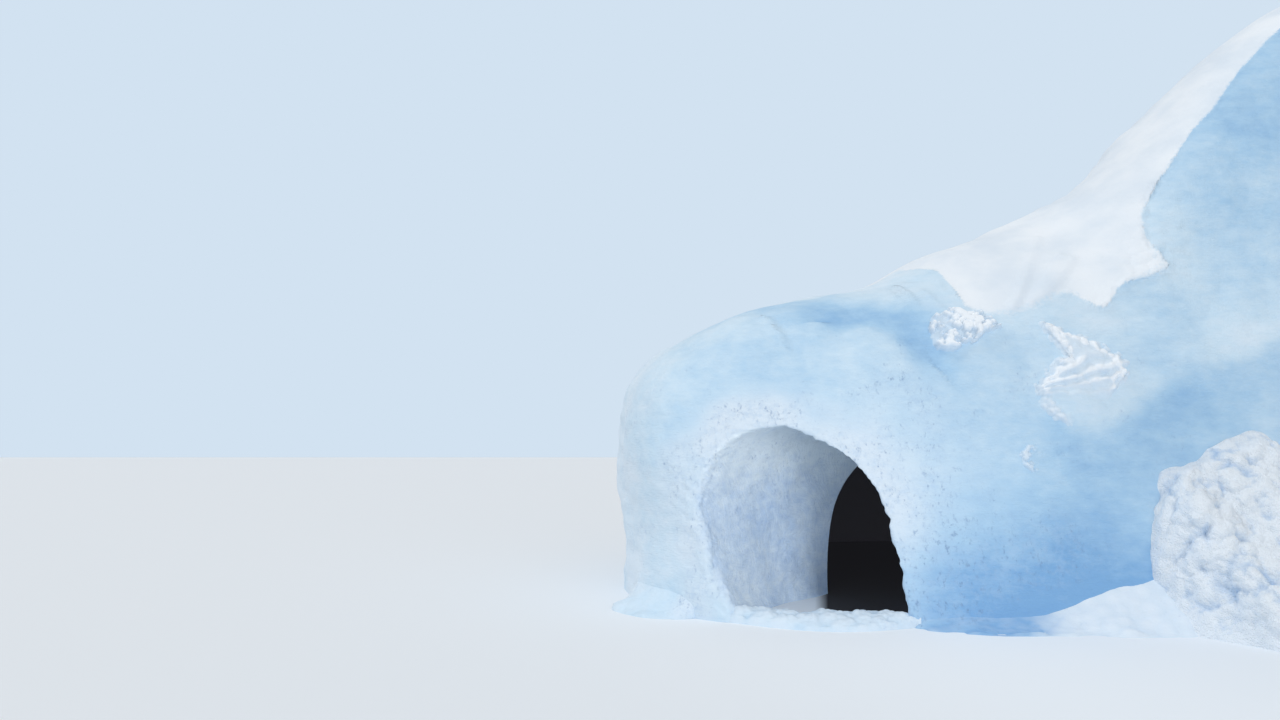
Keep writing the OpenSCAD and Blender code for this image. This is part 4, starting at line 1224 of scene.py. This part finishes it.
def crumbly(p, depth, thick, paleness):
    """Height and paleness of snow that broke into crumbs of 5 to 10 cm, with pits between them; the
    paleness is more on the crumbs, as painted highlight.
    """
    depth = depth + 0.04 * swell(p, 0.17, 71) + 0.02 * swell(p, 0.07, 72)
    mixed = 0.5 * lumps(p, 0.1, 73) + 0.5 * lumps(p, 0.045, 74) + 0.3 * swell(p, 0.2, 75)
    lumpy = ramp(mixed, 0.4, 0.9)
    held = ramp(depth, -0.02, 0.05)
    return thick * held * (0.35 + 0.8 * lumpy) - 0.02, held * (paleness + 0.85 * lumpy)


def plate(p, depth):
    """A smooth slab above, torn in the middle with grooves that rise to the right, and a soft
    bulge below."""
    x, z = p[..., 0], p[..., 2]
    left_corner = PLATE[13]
    high = z - PLATE[:, 2].min()
    upper, lower = ramp(high, 0.55, 0.75), 1 - ramp(high, 0.2, 0.42)
    ragged_depth = depth + 0.03 * swell(p, 0.14, 61) + 0.018 * swell(p, 0.06, 62)
    slab = 0.03 * ramp(ragged_depth, -0.01, 0.03) + 0.055 * ramp(ragged_depth, 0.0, 0.13)
    bulge = 0.09 * ramp(depth, -0.05, 0.3)
    fan = np.arctan2(z - left_corner[2] + 0.1, x - left_corner[0] + 0.25)
    grooves = np.sin(46 * fan + 2.5 * swell(p, 0.22, 63))
    torn = (1 - upper) * (1 - lower) * ramp(ragged_depth, 0, 0.05)
    right = ramp(x, left_corner[0] + 0.16, left_corner[0] + 0.3)
    rim = ramp(ragged_depth, -0.07, 0.0) * (1 - ramp(ragged_depth, 0.03, 0.1)) * (1 - lower * right)
    crumbs, clots = lumps(p, 0.06, 64), lumps(p, 0.08, 65)
    height = (slab * (1 - lower) + bulge * lower + torn * (0.013 * grooves + 0.04 * clots - 0.03)
              + 0.05 * crumbs * rim)
    # The tear is pale, and paler on its groove ridges and clots as painted highlight, as are the
    # rim's crumbs
    pale_tear = torn * (0.75 + 0.4 * grooves + 0.4 * clots)
    pale = ((0.75 * upper + pale_tear) * ramp(ragged_depth, 0, 0.03)
            + rim * (0.1 + 1.1 * crumbs))
    return height - 0.02, pale


def fading(p, depth):
    """Low crumbs with a clear edge at the left, that fade away to the right."""
    height, pale = crumbly(p, depth, 0.05, 0.5)
    left = 1 - ramp(p[..., 0], SMALL_PATCH[0, 0] + 0.02, SMALL_PATCH[0, 0] + 0.3)
    height = (height + 0.02) * (0.15 + 0.85 * left) - 0.02 + 0.012 * (1 - left)
    return height, pale * (0.25 + 0.7 * left) - 0.25


flake("broken_plate", PLATE, plate)
flake("rough_patch", ROUGH_PATCH, lambda p, depth: crumbly(p, depth, 0.085, 0.7))
flake("small_patch", SMALL_PATCH, fading)

# %% [markdown]
# ## Floor, background and light
# The floor is plain and pale. The world is a pale sky for the camera and soft even light for the
# snow. A soft sun stands high behind the left, where it is in the photograph, and makes the drift
# brighter than the cut face. A broad fill from the front shows the face, and a weak soft box lights
# the passage.

# %% Floor, and the floor inside in painted shade
FLOOR_HALF, FLOOR_HEIGHT, INNER_FLOOR_HEIGHT = 70, 0.002, 0.005


def stage_sheet(name, points, material):
    """A flat sheet of the stage, which is no part of the igloo."""
    mesh = bpy.data.meshes.new(name)
    corners = np.asarray(points, float) - FOOT_MIDDLE
    mesh.from_pydata(corners.tolist(), [], [list(range(len(corners)))])
    mesh.materials.append(material)
    made = bpy.data.objects.new(name, mesh)
    bpy.context.scene.collection.objects.link(made)


# The floor lies 2 mm up, above the edges of the snow that end flat on the ground
stage_sheet("floor", [[x * FLOOR_HALF, y * FLOOR_HALF, FLOOR_HEIGHT]
                      for x, y in ((-1, -1), (1, -1), (1, 1), (-1, 1))], PALE_FLOOR)
# The inner floor covers the chamber and the passage
around = np.arange(0, 360, 2.0)
around = around[(around < door[0, 0]) | (around > door[-1, 0])]
chamber_foot = surface(chamber_depth, around, 0 * around) * 1.03
left_of_door = int((around < door[0, 0]).sum())
inner_outline = np.vstack([chamber_foot[:left_of_door], far[0], sheet[0, RINGS + ARC],
                           sheet[-1, RINGS + ARC], far[-1], chamber_foot[left_of_door:]])
inner_outline[:, 2] = INNER_FLOOR_HEIGHT

# It is dark as painted shade, with a faint painted glow, where the chamber lies, and in the passage
# right of a line from the doorway's left foot towards the viewer. Each border fades over 12 or 20
# cm
right_of_line = unit(np.cross(EYE - far[0], [0, 0, 1.0]) * [-1, -1, 0])
SHADED_FLOOR, tree, shader = new_material("shaded_floor", 1.0)
add = partial(node, tree)
place = add("TexCoord", out="Object")
dark_share = 0
for way, start, width in ((right_of_line, -0.12, 0.12), (np.array([0, 1.0, 0]), -0.15, 0.2)):
    past = add("VectorMath", {0: place, 1: tuple(way)}, out="Value", operation="DOT_PRODUCT")
    low = float((far[0] - FOOT_MIDDLE) @ way) + start
    past = add("MapRange", {"Value": past, "From Min": low, "From Max": low + width})
    dark_share = add("Math", {0: past, 1: dark_share}, operation="MAXIMUM")
tone = add("Mix", {0: dark_share, 6: colour("#eaf0f6"), 7: colour("#1c1d21")}, **COLOURS)
tree.links.new(tone, shader.inputs["Base Color"])
add_painted_glow(shader)
stage_sheet("inner_floor", inner_outline, SHADED_FLOOR)
print("dark lies towards", right_of_line.round(2), "of", far[0].round(2))

# %% World and lamps
world = bpy.data.worlds.new("pale_sky")
bpy.context.scene.world = world
world.use_nodes = True
tree = world.node_tree
background = tree.nodes["Background"]
background.inputs["Color"].default_value = (1, 1, 1, 1)
background.inputs["Strength"].default_value = 0.54
sky = node(tree, "Background", {"Color": colour("#d2e2f1"), "Strength": 1})
rays = node(tree, "LightPath").node.outputs
direct = 0
for kind in ("Is Camera Ray", "Is Glossy Ray", "Is Transmission Ray"):
    direct = node(tree, "Math", {0: rays[kind], 1: direct}, operation="MAXIMUM")
shown = node(tree, "MixShader", {0: direct, 1: background.outputs[0], 2: sky})
tree.links.new(shown, tree.nodes["World Output"].inputs["Surface"])

# Each row: kind, power, settings, and the direction from the igloo to the lamp
LAMPS = dict(
    soft_sun=("SUN", 0.88, dict(angle=np.radians(25)), (-0.55, 0.12, 0.83)),
    soft_fill=("SUN", 1.0, dict(angle=np.radians(60)), (-0.03, -0.95, 0.3)),
    soft_box=("AREA", 6, dict(size=2.5, spread=np.radians(50)), (2.9, -5.3, 0.8)))
for name, (kind, power, settings, towards) in LAMPS.items():
    lamp = bpy.data.objects.new(name, bpy.data.lights.new(name, kind))
    lamp.data.energy = power
    for key, value in settings.items():
        setattr(lamp.data, key, value)
    lamp.rotation_euler = Vector(towards).to_track_quat("Z", "Y").to_euler()
    bpy.context.scene.collection.objects.link(lamp)
# Only the soft box, the last one, has a place, and it stays out of the picture
lamp.location = np.array([-1.0, -8.8, 1.7]) - FOOT_MIDDLE
lamp.visible_camera = False
bpy.context.scene.view_settings.view_transform = "Standard"
print("lamps:", ", ".join(LAMPS))
